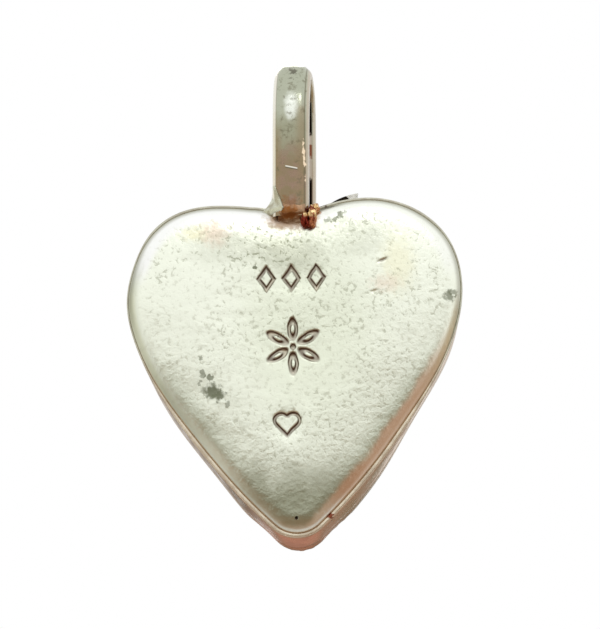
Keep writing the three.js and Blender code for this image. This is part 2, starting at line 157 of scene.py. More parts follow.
def startRing(bm, points):
    ring = [bm.verts.new(point) for point in points]
    for a, b in zip(ring, ring[1:] + ring[:1]):
        bm.edges.new((a, b))
    return ring


def ringEdges(bm, ring):
    return [bm.edges.get((a, b)) for a, b in zip(ring, ring[1:] + ring[:1])]


def growRing(bm, ring, points):
    made = bmesh.ops.extrude_edge_only(bm, edges=ringEdges(bm, ring))["geom"]
    fresh = {item for item in made if isinstance(item, bmesh.types.BMVert)}
    grown = []
    for old, point in zip(ring, points):
        new = next(e.other_vert(old) for e in old.link_edges if e.other_vert(old) in fresh)
        new.co = point
        grown.append(new)
    return grown


def skinRings(bm, rings, ends="filled"):  # ends are filled, looped or left open
    loops = [startRing(bm, rings[0])]
    for points in rings[1:]:
        loops.append(growRing(bm, loops[-1], points))
    if ends == "looped":
        bmesh.ops.bridge_loops(bm, edges=ringEdges(bm, loops[0]) + ringEdges(bm, loops[-1]))
    if ends == "filled":
        bmesh.ops.holes_fill(bm, edges=[e for e in bm.edges if e.is_boundary], sides=0)
    return loops


# The heart was bent by hand: one shoulder and both flanks are drawn in, the flanks more at their front,
# the tip is pinched at its front and one lobe is lower than the other.
handBent = {
    "shoulder": {"reach": 0.25, "level": -3.1, "spread": 2.2},
    "flanks": (
        {"side": -1, "back": 0.08, "front": 0.40, "level": -12.3, "spread": 2.9},
        {"side": 1, "back": 0.05, "front": 0.20, "level": -14.9, "spread": 2.4},
    ),
    "tip": {"pinch": 0.1, "top": -17.3, "low": -18.8},
    "crests": ({"x": 3.5, "spread": 3.0, "rise": -0.17}, {"x": -4.2, "spread": 1.8, "rise": 0.07}),
}


def bendByHand(co):
    x, z = co.x, co.z
    shoulder = handBent["shoulder"]
    near = math.exp(-((co.z - shoulder["level"]) / shoulder["spread"]) ** 2)
    x -= shoulder["reach"] * near * smoothStep(4.0, 9.0, co.x)
    forward = min(1.0, max(0.0, (heart["wallDepth"] / 2 - co.y) / 2.8))
    for use in handBent["flanks"]:
        near = math.exp(-((co.z - use["level"]) / use["spread"]) ** 2)
        reach = use["back"] + (use["front"] - use["back"]) * forward
        x -= use["side"] * reach * near * smoothStep(1.0, 4.5, use["side"] * co.x)
    tip = handBent["tip"]
    x *= 1 - tip["pinch"] * forward * smoothStep(tip["top"], tip["low"], co.z)
    for use in handBent["crests"]:
        near = math.exp(-((co.x - use["x"]) / use["spread"]) ** 2) * smoothStep(1.2, 2.6, abs(co.x))
        z += use["rise"] * near * smoothStep(-4.0, -1.0, co.z)
    return Vector((x, co.y, z))


def finishPiece(name, bm, node, material, sharpAngle=40):
    for vert in bm.verts:
        vert.co = bendByHand(vert.co)
    bmesh.ops.recalc_face_normals(bm, faces=bm.faces[:])
    bm.transform(bench)
    mesh = bpy.data.meshes.new(name)
    bm.to_mesh(mesh)
    bm.free()
    for polygon in mesh.polygons:
        polygon.use_smooth = True
    mesh.set_sharp_from_angle(angle=math.radians(sharpAngle))
    mesh.materials.append(material)
    piece = bpy.data.objects.new(name, mesh)
    bpy.context.scene.collection.objects.link(piece)
    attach(piece, "root")
    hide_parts(node)
    return piece


# Shader helpers

def addNode(tree, kind, sockets=None, **settings):
    node = tree.nodes.new(kind)
    for key, value in settings.items():
        setattr(node, key, value)
    for key, value in (sockets or {}).items():
        if isinstance(value, bpy.types.NodeSocket):
            tree.links.new(value, node.inputs[key])
        else:
            node.inputs[key].default_value = value
    return node


def calc(tree, operation, a, b=0.0, clamped=False):
    return addNode(tree, "ShaderNodeMath", {0: a, 1: b}, operation=operation,
                   use_clamp=clamped).outputs[0]


def times(tree, a, b):
    return calc(tree, "MULTIPLY", a, b)


def blend(tree, factor, a, b):
    return addNode(tree, "ShaderNodeMix", {0: factor, 6: a, 7: b}, data_type="RGBA").outputs[2]


def lay(tree, colour, over, mask, share):  # a second colour over the first, where the mask is
    return blend(tree, times(tree, mask, share), colour, over)


def stretch(tree, value, low, high, toLow=0.0, toHigh=1.0):
    return addNode(tree, "ShaderNodeMapRange",
                   {"Value": value, "From Min": low, "From Max": high, "To Min": toLow, "To Max": toHigh},
                   interpolation_type="SMOOTHSTEP").outputs[0]


def newGroup(name, inputs, outputs):
    tree = bpy.data.node_groups.new(name, "ShaderNodeTree")
    for label, kind, value in inputs:
        socket = tree.interface.new_socket(label, in_out="INPUT", socket_type=kind)
        if value is not None:
            socket.default_value = value
    for label, kind in outputs:
        tree.interface.new_socket(label, in_out="OUTPUT", socket_type=kind)
    return tree, addNode(tree, "NodeGroupInput").outputs


def useGroup(tree, group, sockets):
    return addNode(tree, "ShaderNodeGroup", sockets, node_tree=group).outputs


floatKind, vectorKind = "NodeSocketFloat", "NodeSocketVector"

# Small uneven dimples, as on a cast or lightly hammered skin
dimples, given = newGroup(
    "dimples",
    [("Vector", vectorKind, None), ("Scale", floatKind, 2.6), ("Roughened", floatKind, 0.5)],
    [("Height", floatKind)],
)
bent = addNode(dimples, "ShaderNodeTexNoise", {"Vector": given["Vector"], "Scale": 1.4, "Detail": 2.0})
moved = addNode(dimples, "ShaderNodeVectorMath",
                {0: given["Vector"], 1: bent.outputs["Color"]}, operation="ADD").outputs[0]
cells = addNode(dimples, "ShaderNodeTexVoronoi",
                {"Vector": moved, "Scale": given["Scale"], "Smoothness": 0.7, "Randomness": 1.0},
                feature="SMOOTH_F1")
grain = addNode(dimples, "ShaderNodeTexNoise",
                {"Vector": given["Vector"], "Scale": 5.0, "Detail": 4.0, "Roughness": 0.6})
roughPart = times(dimples, grain.outputs[0], given["Roughened"])
addNode(dimples, "NodeGroupOutput",
        {"Height": calc(dimples, "ADD", cells.outputs["Distance"], roughPart)})

# Cloudy patches between 0 and 1
clouds, given = newGroup(
    "clouds",
    [("Vector", vectorKind, None), ("Scale", floatKind, 0.5), ("From", floatKind, 0.4),
     ("To", floatKind, 0.6)],
    [("Mask", floatKind)],
)
cloud = addNode(clouds, "ShaderNodeTexNoise",
                {"Vector": given["Vector"], "Scale": given["Scale"], "Detail": 5.0, "Roughness": 0.6})
addNode(clouds, "NodeGroupOutput",
        {"Mask": stretch(clouds, cloud.outputs[0], given["From"], given["To"])})

# A soft round spot, with a ragged edge, at a place on the bench
spot, given = newGroup(
    "spot",
    [("Vector", vectorKind, None), ("Middle", vectorKind, None), ("Stretch", vectorKind, (1, 1, 1)),
     ("Radius", floatKind, 1.0), ("Softness", floatKind, 0.3), ("Ragged", floatKind, 0.0)],
    [("Mask", floatKind)],
)
away = addNode(spot, "ShaderNodeVectorMath", {0: given["Vector"], 1: given["Middle"]},
               operation="SUBTRACT").outputs[0]
away = addNode(spot, "ShaderNodeVectorMath", {0: away, 1: given["Stretch"]},
               operation="DIVIDE").outputs[0]
far = addNode(spot, "ShaderNodeVectorMath", {0: away}, operation="LENGTH").outputs["Value"]
rag = addNode(spot, "ShaderNodeTexNoise", {"Vector": given["Vector"], "Scale": 4.0, "Detail": 4.0})
rag = times(spot, calc(spot, "SUBTRACT", rag.outputs[0], 0.5), given["Ragged"])
far = calc(spot, "ADD", far, rag)
outer = calc(spot, "ADD", given["Radius"], given["Softness"])
addNode(spot, "NodeGroupOutput", {"Mask": stretch(spot, far, outer, given["Radius"])})

# Fine handling scratches in one direction, as a height and a mask
scratches, given = newGroup(
    "scratches",
    [("Vector", vectorKind, None), ("Scale", floatKind, 1.0), ("Amount", floatKind, 0.1)],
    [("Mask", floatKind)],
)
turned = addNode(scratches, "ShaderNodeMapping",
                 {"Vector": given["Vector"], "Rotation": (0, 0.5, 0), "Scale": (0.35, 1, 7)})
hair = addNode(scratches, "ShaderNodeTexNoise",
               {"Vector": turned.outputs[0], "Scale": given["Scale"], "Detail": 6.0, "Roughness": 0.7})
edge = calc(scratches, "SUBTRACT", 0.74, given["Amount"])
addNode(scratches, "NodeGroupOutput",
        {"Mask": stretch(scratches, hair.outputs[0], edge, calc(scratches, "ADD", edge, 0.06))})


def newMaterial(name):
    material = bpy.data.materials.new(name)
    material.use_nodes = True
    tree = material.node_tree
    shader = tree.nodes["Principled BSDF"]
    shader.inputs["Metallic"].default_value = 1.0
    place = addNode(tree, "ShaderNodeTexCoord").outputs["Object"]
    scale = 1 / mm
    onBench = addNode(tree, "ShaderNodeMapping", {
        "Vector": place,
        "Location": tuple(-v * scale for v in benchOrigin),
        "Scale": (scale, scale, scale),
    }).outputs[0]
    axes = addNode(tree, "ShaderNodeSeparateXYZ", {0: onBench}).outputs
    return material, tree, shader, onBench, axes


def attribute(tree, name):
    return addNode(tree, "ShaderNodeAttribute", attribute_name=name).outputs["Fac"]


def plug(tree, shader, colour, roughness, height=None, strength=0.5, distance=0.02):
    tree.links.new(colour, shader.inputs["Base Color"])
    tree.links.new(roughness, shader.inputs["Roughness"])
    if height is not None:
        bump = addNode(tree, "ShaderNodeBump",
                       {"Strength": strength, "Distance": distance * mm, "Height": height})
        tree.links.new(bump.outputs[0], shader.inputs["Normal"])


def spotAt(tree, onBench, middle, radius, softness=0.3, ragged=0.0, reach=(1, 1, 1)):
    return useGroup(tree, spot, {"Vector": onBench, "Middle": middle, "Radius": radius,
                                 "Softness": softness, "Ragged": ragged, "Stretch": reach})["Mask"]


def cloudMask(tree, onBench, scale, low, high):
    return useGroup(tree, clouds, {"Vector": onBench, "Scale": scale, "From": low, "To": high})["Mask"]


def dimpled(tree, onBench, scale, roughened):
    return useGroup(tree, dimples, {"Vector": onBench, "Scale": scale, "Roughened": roughened})["Height"]


def hairMask(tree, onBench, scale, amount):
    return useGroup(tree, scratches, {"Vector": onBench, "Scale": scale, "Amount": amount})["Mask"]


# Pale silver of the back plate
backLook = {
    "ivory": tone(248, 252, 236),
    "middle": tone(238, 243, 223),
    "shoulderHighlight": tone(252, 253, 250),
    "patina": tone(174, 176, 154),
    "yellow": tone(240, 234, 192),
    "pink": tone(240, 222, 204),
    "stain": tone(122, 126, 104),
    "rust": tone(134, 74, 54),
    "rim": tone(184, 185, 170),
    "wallOfMark": tone(84, 60, 50),
    "floorOfMark": tone(190, 172, 152),
    "seamTop": tone(196, 195, 178),
    "seamLow": tone(204, 182, 154),
    "reflectedBrown": tone(206, 200, 178),
    "tipBrown": tone(246, 240, 226),
    "warmBrown": tone(230, 194, 166),
    "fleck": tone(150, 154, 128),
    "greenReflection": tone(202, 208, 188),
    "solderStain": tone(170, 142, 112),
}
backTints = (  # colour, middle, radius, softness, stretch and share of each broad tint
    ("yellow", (5.3, 1.9, -2.0), 0.2, 1.1, (1.2, 2, 0.5), 0.6),
    ("yellow", (-5.9, 1.9, -4.0), 0.4, 1.6, (0.7, 2, 1.3), 0.4),
    ("pink", (4.3, 1.9, -2.0), 0.2, 1.1, (0.9, 2, 0.9), 0.8),
    ("pink", (-5.2, 1.9, -5.2), 0.2, 1.1, (0.9, 2, 0.6), 0.5),
    ("patina", (0.1, 1.9, -3.2), 0.6, 1.5, (1.4, 2, 0.7), 0.5),
    ("patina", (2.2, 1.9, -2.6), 0.6, 1.4, (1.5, 2, 0.7), 0.25),
    ("patina", (-3.8, 1.9, -2.4), 0.6, 1.4, (1.2, 2, 0.8), 0.3),
    ("patina", (3.9, 1.9, -2.9), 0.6, 1.6, (1.3, 2, 0.7), 0.25),
)
backMarks = (  # middle, radius, share and colour of each stain
    ((4.62, 1.9, -11.18), 0.44, 0.95, "stain"),
    ((4.23, 1.9, -11.45), 0.32, 0.9, "stain"),
    ((5.1, 1.9, -11.1), 0.22, 0.4, "stain"),
    ((5.15, 1.9, -10.12), 0.20, 0.7, "stain"),
    ((4.78, 1.9, -10.36), 0.16, 0.8, "stain"),
    ((5.35, 1.9, -10.6), 0.10, 0.6, "stain"),
    ((3.72, 1.9, -11.95), 0.14, 0.6, "stain"),
    ((5.21, 1.9, -9.24), 0.10, 0.55, "stain"),
    ((4.91, 1.9, -9.2), 0.08, 0.5, "stain"),
    ((-8.72, 1.5, -6.0), 0.30, 0.8, "stain"),
    ((-8.95, 1.4, -5.75), 0.22, 0.7, "stain"),
    ((-2.72, 1.7, -1.08), 0.20, 0.8, "stain"),
    ((-2.42, 1.7, -1.36), 0.14, 0.7, "stain"),
    ((-3.05, 1.7, -0.92), 0.12, 0.6, "stain"),
    ((-1.95, 1.7, -1.32), 0.17, 0.6, "stain"),
    ((2.13, 1.9, -4.06), 0.05, 0.9, "stain"),
    ((5.53, 1.9, -15.42), 0.05, 0.7, "stain"),
    ((0.84, 1.5, -0.98), 0.09, 0.9, "rust"),
    ((-1.86, 1.2, -18.32), 0.15, 0.9, "rust"),
    ((-1.45, 1.5, -1.75), 0.10, 0.6, "rust"),
)
paleSilver, tree, shader, onBench, axes = newMaterial("paleSilver")
inset = attribute(tree, "inset")
drawn = addNode(tree, "ShaderNodeMapping", {"Vector": onBench, "Rotation": (0, 0.3, 0)}).outputs[0]
fine = addNode(tree, "ShaderNodeTexNoise", {"Vector": drawn, "Scale": 3.8, "Detail": 4.0,
                                            "Roughness": 0.6, "Distortion": 0.4}).outputs[0]
broad = addNode(tree, "ShaderNodeTexNoise", {"Vector": onBench, "Scale": 0.9, "Detail": 3.0}).outputs[0]
patches = cloudMask(tree, onBench, 0.3, 0.36, 0.62)
centred = spotAt(tree, onBench, (-0.8, 1.9, -7.5), 1.5, 4.0, 1.0, (1, 1, 1.5))
colour = blend(tree, centred, backLook["ivory"], backLook["middle"])
# painted highlight: a brighter band just inside the upper edge of the lobes, fuller on the +x side
shoulder = times(tree, stretch(tree, inset, 1.1, 0.6), stretch(tree, axes["Z"], -5.2, -3.6))
shoulder = times(tree, shoulder, stretch(tree, axes["X"], -3.0, 0.0, 0.5, 1.0))
colour = blend(tree, shoulder, colour, backLook["shoulderHighlight"])
# darker towards the tip: painted shade, with tarnish
lowPaintedShadeAndTarnish = stretch(tree, calc(tree, "ADD", axes["Z"], times(tree, broad, 2.4)), -12.9, -16.6)
colour = blend(tree, lowPaintedShadeAndTarnish, colour, backLook["patina"])
for tint, middle, radius, softness, reach, share in backTints:
    mask = spotAt(tree, onBench, middle, radius, softness, 1.4, reach)
    colour = lay(tree, colour, backLook[tint], mask, share)
# dirt keeps to the low places of the grain, more of it in some parts than in others
dirt = stretch(tree, fine, 0.46, 0.35)
dirtZone = stretch(tree, patches, 0, 1, 0.16, 0.42)
worked = spotAt(tree, onBench, (1.6, 1.9, -2.8), 1.0, 1.6, 1.0, (1.5, 1, 0.8))
dirtZone = times(tree, calc(tree, "MAXIMUM", dirtZone, times(tree, worked, 0.8)),
                 stretch(tree, inset, 0.45, 1.1, 0.1, 1.0))
colour = blend(tree, times(tree, dirt, dirtZone), colour, backLook["fleck"])
for middle, radius, share, tint in backMarks:
    mark = spotAt(tree, onBench, middle, radius * 0.6, radius * 0.7, 0.8, (1, 4, 1))
    colour = lay(tree, colour, backLook[tint], mark, share)
# painted reflection: a brown band along the lower edge, stronger and warmer towards -x and paler at the tip
edgeReflectionBand = calc(tree, "ADD", inset, times(tree, broad, 0.6))
edgeReflectionBand = calc(tree, "SUBTRACT", edgeReflectionBand, stretch(tree, axes["X"], 1.0, -2.0, 0.0, 0.3))
edgeReflectionBand = stretch(tree, edgeReflectionBand, 0.75, 0.35)
under = stretch(tree, axes["Z"], -7.0, -12.0)
# painted reflection: soft grey-green inside the edge of the lower half, weaker at the tip
greenReflection = times(tree, stretch(tree, inset, 1.9, 0.6), stretch(tree, axes["Z"], -8.0, -12.0))
greenReflection = times(tree, greenReflection, stretch(tree, axes["Z"], -16.5, -13.5, 0.25, 1.0))
colour = lay(tree, colour, backLook["greenReflection"], greenReflection, 0.6)
reflectedBrown = blend(tree, stretch(tree, axes["X"], 1.5, -1.5), backLook["reflectedBrown"], backLook["warmBrown"])
reflectedBrown = blend(tree, stretch(tree, axes["Z"], -16.8, -18.4), reflectedBrown, backLook["tipBrown"])
reflectionShare = times(tree, under, stretch(tree, axes["X"], 3.0, -1.5, 0.35, 0.8))
colour = blend(tree, times(tree, edgeReflectionBand, reflectionShare), colour, reflectedBrown)
# painted shade: a grey band along the very edge of the upper half
upperEdgeShade = times(tree, stretch(tree, inset, 0.34, 0.06), stretch(tree, axes["Z"], -8.5, -5.5))
colour = lay(tree, colour, backLook["rim"], upperEdgeShade, 0.9)
# painted shade, in the stain colour: darker just inside the edge on the +x side below the lobe
leftEdgeShade = times(tree, stretch(tree, inset, 0.75, 0.1), stretch(tree, axes["X"], 4.0, 7.5))
leftEdgeShade = times(tree, leftEdgeShade, stretch(tree, axes["Z"], -2.5, -5.0))
colour = lay(tree, colour, backLook["stain"], leftEdgeShade, 0.5)
seamColour = blend(tree, under, backLook["seamTop"], backLook["seamLow"])
colour = blend(tree, times(tree, stretch(tree, inset, 0.09, 0.0), 0.75), colour, seamColour)
punched = attribute(tree, "mark")
punchEdge = times(tree, punched, calc(tree, "SUBTRACT", 1.0, punched))
# the punched walls are dark with patina, and darkest on the upper walls: painted shade
wallOfMark = calc(tree, "MULTIPLY", punchEdge, 4.0, True)
wallOfMark = times(tree, wallOfMark, attribute(tree, "shade"))
colour = lay(tree, colour, backLook["floorOfMark"], punched, 0.6)
colour = blend(tree, wallOfMark, colour, backLook["wallOfMark"])
colour = blend(tree, attribute(tree, "dent"), colour, backLook["wallOfMark"])
nearBail = spotAt(tree, onBench, (0.25, 1.5, -1.25), 0.35, 0.7, 0.9, (1.7, 3, 0.85))
colour = lay(tree, colour, backLook["solderStain"], nearBail, 0.85)
rough = stretch(tree, calc(tree, "MAXIMUM", dirt, nearBail), 0, 1, 0.28, 0.40)
grain = calc(tree, "ADD", fine, times(tree, broad, 0.8))
grainZone = times(tree, stretch(tree, inset, 0.1, 0.6, 0.2, 1.0),
                  calc(tree, "ADD", times(tree, patches, 0.6), 0.6))
plug(tree, shader, colour, rough, times(tree, grain, grainZone), 0.36, 0.055)

backPlate = {
    "outlineInset": 0.275,  # the wall's lip and the fine open seam beside it
    "seat": 1.07,
    "edgeWidth": 0.9,
    "edgeRise": 0.55,
    "edgeTurn": 71,  # degrees of the rounded edge, which ends in the dome's own slope
    "edgeRings": 11,
    "domeRise": 0.3,
    "domeReach": 0.53,
    "domeRings": 54,
    "pole": Vector((0, 0, -6.9)),
    "waver": 0.012,
    "ripple": 0.008,  # soft ripples on the right half
    "undersideInset": 1.2,
    "punch": 0.12,
    "punchWall": 0.06,
    "blur": 0.035,  # unevenness of the punched lines
    "lozenges": {"middle": 0.1, "level": -4.76, "spacing": 1.40, "half": (0.53, 0.80), "band": 0.09},
    "flower": {"middle": 0.06, "level": -8.72, "petal": 1.0, "size": (0.65, 0.28), "band": 0.08},
    "heart": {"middle": (0.46, -13.96), "size": 1.3, "band": 0.085},
    "dish": 0.055,  # depth of the hollows round the punches
    "dishes": (((0, -4.8), (2.0, 0.95)), ((0, -8.8), (1.7, 1.5)), ((0.46, -13.25), (1.0, 0.95))),
    "scratch": {"middle": (-5.04, -3.84), "long": 0.28, "wide": 0.07, "angle": -22, "depth": 0.06},
    "dents": (
        {"middle": (-4.55, -5.65), "long": 0.22, "wide": 0.09, "angle": -15, "depth": 0.03},
        {"middle": (-2.75, -1.5), "long": 0.35, "wide": 0.16, "angle": -40, "depth": 0.03},
    ),
    "pit": {"middle": (0.03, -18.56), "rim": 0.10, "floor": 0.05, "depth": 0.2, "dark": 0.01},
    # where the faces are finer: x from and to, z from and to, and the number of cuts
    "fine": (
        (-2.1, 2.3, -5.8, -3.75, 2), (-1.75, 1.85, -10.55, -6.95, 2), (-0.35, 1.35, -14.2, -12.3, 3),
        (-0.25, 0.3, -18.85, -18.3, 3), (-5.6, -4.1, -6.0, -3.3, 1),
    ),
}


def lozengeRow(x, z):  # distance to the nearest of three punched lozenge outlines
    use = backPlate["lozenges"]
    wide, high = use["half"]
    best = 9.0
    for step in (-1, 0, 1):
        u, w = abs(x - use["middle"] - step * use["spacing"]) / wide, abs(z - use["level"]) / high
        away = (u + w - 1) * 0.44
        best = min(best, abs(away + use["band"]) - use["band"])
    return best


def punchedFlower(x, z):  # six petal outlines round a dot
    use = backPlate["flower"]
    x, w = x - use["middle"], z - use["level"]
    long, wide = use["size"]
    best = math.hypot(x, w) - 0.15
    for i in range(6):
        angle = math.radians(30 + 60 * i)
        along = x * math.cos(angle) + w * math.sin(angle) - use["petal"]
        across = w * math.cos(angle) - x * math.sin(angle)
        away = (math.hypot(along / long, across / wide) - 1) * wide
        best = min(best, abs(away + use["band"]) - use["band"])
    return best


def punchedHeart(x, z):
    use = backPlate["heart"]
    u, w = abs(x - use["middle"][0]) / use["size"], (z - use["middle"][1]) / use["size"]
    if u + w > 1:
        away = math.hypot(u - 0.25, w - 0.75) - math.sqrt(2) / 4
    else:
        low = 0.5 * max(u + w, 0)
        near = min(u * u + (w - 1) ** 2, (u - low) ** 2 + (w - low) ** 2)
        away = math.sqrt(near) * (1 if u > w else -1)
    away *= use["size"]
    return abs(away + use["band"]) - use["band"]


def markDepth(x, z):  # how deep a punch has gone, 0 to 1
    if abs(x) > 2.2 or not -14.5 < z < -3.7:
        return 0.0
    shiftX = backPlate["blur"] * noise.noise(Vector((x * 2.2, 1.0, z * 2.2)))
    shiftZ = backPlate["blur"] * noise.noise(Vector((x * 2.2, 7.0, z * 2.2)))
    x, z = x + shiftX, z + shiftZ
    away = min(lozengeRow(x, z), punchedFlower(x, z), punchedHeart(x, z))
    uneven = 0.8 + 0.5 * noise.noise(Vector((x * 1.1, 5.0, z * 1.1)))
    return smoothStep(backPlate["punchWall"], -backPlate["punchWall"], away) * min(1.0, uneven)


def dishDepth(x, z):  # the sheet sinks round each punch
    depth = 0.0
    for middle, reach in backPlate["dishes"]:
        away = math.hypot((x - middle[0]) / reach[0], (z - middle[1]) / reach[1])
        depth += math.exp(-1.6 * away ** 3)
    return depth * backPlate["dish"]


def dentAt(x, z, use):
    turn = math.radians(use["angle"])
    u, w = x - use["middle"][0], z - use["middle"][1]
    along = u * math.cos(turn) + w * math.sin(turn)
    across = w * math.cos(turn) - u * math.sin(turn)
    return math.exp(-(along / use["long"]) ** 2 - (across / use["wide"]) ** 2)


def pitAt(x, z, inside=0.0):  # 1 on the floor of the pinhole, 0 outside its rim
    use = backPlate["pit"]
    away = math.hypot(x - use["middle"][0], z - use["middle"][1]) + inside
    return smoothStep(use["rim"], use["floor"], away)


def backSurface(x, z):  # height of the skin over the plain dome
    use = backPlate
    point = Vector((x, 0, z))
    height = use["waver"] * (noise.noise(point * 0.6) + 0.35 * noise.noise(point * 2.1))
    ripples = noise.noise(Vector((x * 0.5, 3.0, z * 1.5)))
    height += use["ripple"] * ripples * smoothStep(0.0, 3.0, x)
    height -= dishDepth(x, z)
    height -= use["punch"] * markDepth(x, z)
    height -= use["pit"]["depth"] * pitAt(x, z)
    for hollow in (use["scratch"],) + use["dents"]:
        height -= hollow["depth"] * dentAt(x, z, hollow)
    return height


def buildBackPlate():
    use = backPlate
    inside = drawIn(heartEdge(), use["outlineInset"])
    outline = [a.lerp(b, lipShare(a.z)) for a, b in zip(heartEdge(), inside)]
    inner = drawIn(outline, use["undersideInset"])
    insets, rings = [], []
    for share in (0.8, 0.4, 0.0):  # underside, from its middle out
        rings.append(atDepth(shrinkTo(inner, use["pole"], share), use["seat"]))
        insets.append(3.0)
    last = math.radians(use["edgeTurn"])
    for i in range(use["edgeRings"] + 1):
        turn = last * i / use["edgeRings"]
        inset = use["edgeWidth"] * (1 - math.cos(turn)) / (1 - math.cos(last))
        rise = use["edgeRise"] * math.sin(turn) / math.sin(last)
        rings.append(atDepth(drawIn(outline, inset), use["seat"] + rise))
        insets.append(inset)
    edge = drawIn(outline, use["edgeWidth"])
    for i in range(1, use["domeRings"]):
        share = i / use["domeRings"]
        rise = use["domeRise"] * (1 - (1 - min(1, share / use["domeReach"])) ** 2)
        rings.append(atDepth(shrinkTo(edge, use["pole"], share), use["seat"] + use["edgeRise"] + rise))
        insets.append(use["edgeWidth"] + 8 * share)
    bm = bmesh.new()
    layer = bm.verts.layers.float.new("inset")
    markLayer = bm.verts.layers.float.new("mark")
    dentLayer = bm.verts.layers.float.new("dent")
    shadeLayer = bm.verts.layers.float.new("shade")
    loops = skinRings(bm, rings, "open")
    for loop, inset in zip(loops, insets):
        for vert in loop:
            vert[layer] = inset
    bmesh.ops.holes_fill(bm, edges=ringEdges(bm, loops[0]), sides=0)
    last = growRing(bm, loops[-1], [v.co for v in loops[-1]])
    top = Vector((0, loops[-1][0].co.y, 0)) + use["pole"]
    bmesh.ops.pointmerge(bm, verts=last, merge_co=top)
    for lowX, highX, lowZ, highZ, cuts in use["fine"]:
        near = {
            e for e in bm.edges
            if all(lowX < v.co.x < highX and lowZ < v.co.z < highZ and v.co.y > use["seat"] + 0.2
                   for v in e.verts)
        }
        bmesh.ops.subdivide_edges(bm, edges=list(near), cuts=cuts, use_grid_fill=True)
    for vert in bm.verts:
        if vert.co.y > use["seat"] + 0.1 and vert[layer] > 0.3:
            settle = smoothStep(0.3, 0.9, vert[layer])
            x, z = vert.co.x, vert.co.z
            vert.co.y += settle * backSurface(x, z)
            vert[markLayer] = markDepth(x, z)
            slope = markDepth(x, z - 0.05) - markDepth(x, z + 0.05)
            vert[shadeLayer] = 0.25 + 0.75 * smoothStep(-0.45, 0.3, slope)  # painted shade on the upper walls, which face down
            vert[dentLayer] = max(0.8 * dentAt(x, z, use["scratch"]), pitAt(x, z, use["pit"]["dark"]))
    return finishPiece("back_plate_skin", bm, "back_plate", paleSilver)


buildBackPlate()
print("back plate made")


# Warm, tarnished silver of the side wall and its lip, with painted reflections: darker on the +x side, pink
# at the tip, tan low on the lip and greyer towards its top
wallLook = {
    "lip": tone(228, 216, 194),
    "lipTop": tone(196, 195, 178),
    "tip": tone(250, 204, 188),
    "right": tone(232, 208, 182),
    "left": tone(178, 156, 136),
    "seamTop": tone(196, 195, 178),
    "seamLow": tone(204, 182, 154),
    "oxideAndGapShade": tone(70, 44, 36),
    "rust": tone(140, 78, 58),
    "grime": tone(140, 122, 104),
}
wallSilver, tree, shader, onBench, axes = newMaterial("wallSilver")
# painted reflection: darker on the +x side and pink at the tip
sideReflection = stretch(tree, axes["X"], -2.0, 2.0)
colour = blend(tree, sideReflection, wallLook["right"], wallLook["left"])
atTip = spotAt(tree, onBench, (0.6, 0, -19.6), 0.6, 3.0, 0.5, (1, 2, 1))
colour = blend(tree, atTip, colour, wallLook["tip"])
# painted reflection on the lip: tan low down, greyer towards its top
lipTop = stretch(tree, axes["Z"], -11.5, -7.0)
lipColour = blend(tree, lipTop, wallLook["lip"], wallLook["lipTop"])
colour = blend(tree, stretch(tree, axes["Y"], 0.80, 1.0), colour, lipColour)
smear = cloudMask(tree, onBench, 0.9, 0.35, 0.7)
colour = lay(tree, colour, wallLook["grime"], smear, 0.3)
seamColour = blend(tree, lipTop, wallLook["seamLow"], wallLook["seamTop"])
colour = blend(tree, attribute(tree, "seam"), colour, seamColour)
# oxide and painted shade in the gap under the leaf at the top of the wall
oxideAndGapShade = spotAt(tree, onBench, (-1.75, 0.6, -0.4), 0.1, 0.25, 0.8, (2.6, 2, 0.7))
colour = blend(tree, oxideAndGapShade, colour, wallLook["oxideAndGapShade"])
rust = spotAt(tree, onBench, (-1.88, 1.15, -18.38), 0.09, 0.1, 0.8, (1, 2, 1))
colour = blend(tree, rust, colour, wallLook["rust"])
rough = stretch(tree, smear, 0, 1, 0.26, 0.42)
peel = dimpled(tree, onBench, 1.2, 0.6)
plug(tree, shader, colour, rough, peel, 0.35, 0.03)

sideWall = {
    # inset from the outline and depth, round the strip's cross-section
    "section": [
        (0.05, -1.10), (0.0, -1.02), (-0.01, -0.6), (-0.015, 0.0), (-0.01, 0.6), (0.0, 0.88),
        (0.008, 0.98), (0.03, 1.05), (0.065, 1.09), (0.10, 1.10), (0.205, 1.10), (0.24, 1.097),
        (0.258, 1.088), (0.268, 1.081), (0.29, 1.076), (0.60, 1.04), (0.60, 0.0), (0.60, -1.10),
        (0.32, -1.10),
    ],
    "lipFrom": (0.03, 1.04),  # inset and depth where the lip starts
    "seamFrom": 0.262,
    "trueFrom": 0.05,  # the outer face, less deep than this, isn't quite true
    "waver": 0.012,
}


def buildSideWall():
    rings = []
    half = heart["wallDepth"] / 2
    lipInset, lipDepth = sideWall["lipFrom"]
    for inset, y in sideWall["section"]:
        edge = heartEdge((half - y) / heart["wallDepth"])
        ring = drawIn(edge, inset)
        if inset > lipInset and y >= lipDepth:
            ring = [a.lerp(b, lipShare(a.z)) for a, b in zip(edge, ring)]
        if inset < sideWall["trueFrom"]:
            ring = [p + (p - Vector((0, 0, -9))).normalized() * sideWall["waver"]
                    * (noise.noise(Vector((p.x, y * 0.6, p.z)) * 0.8) - 0.5) for p in ring]
        rings.append(atDepth(ring, y))
    bm = bmesh.new()
    layer = bm.verts.layers.float.new("seam")
    loops = skinRings(bm, rings, "looped")
    for loop, (inset, y) in zip(loops, sideWall["section"]):
        for vert in loop:
            vert[layer] = 1.0 if inset >= sideWall["seamFrom"] and y > 0 else 0.0
    return finishPiece("side_wall_strip", bm, "side_wall", wallSilver, 60)


buildSideWall()
print("side wall made")


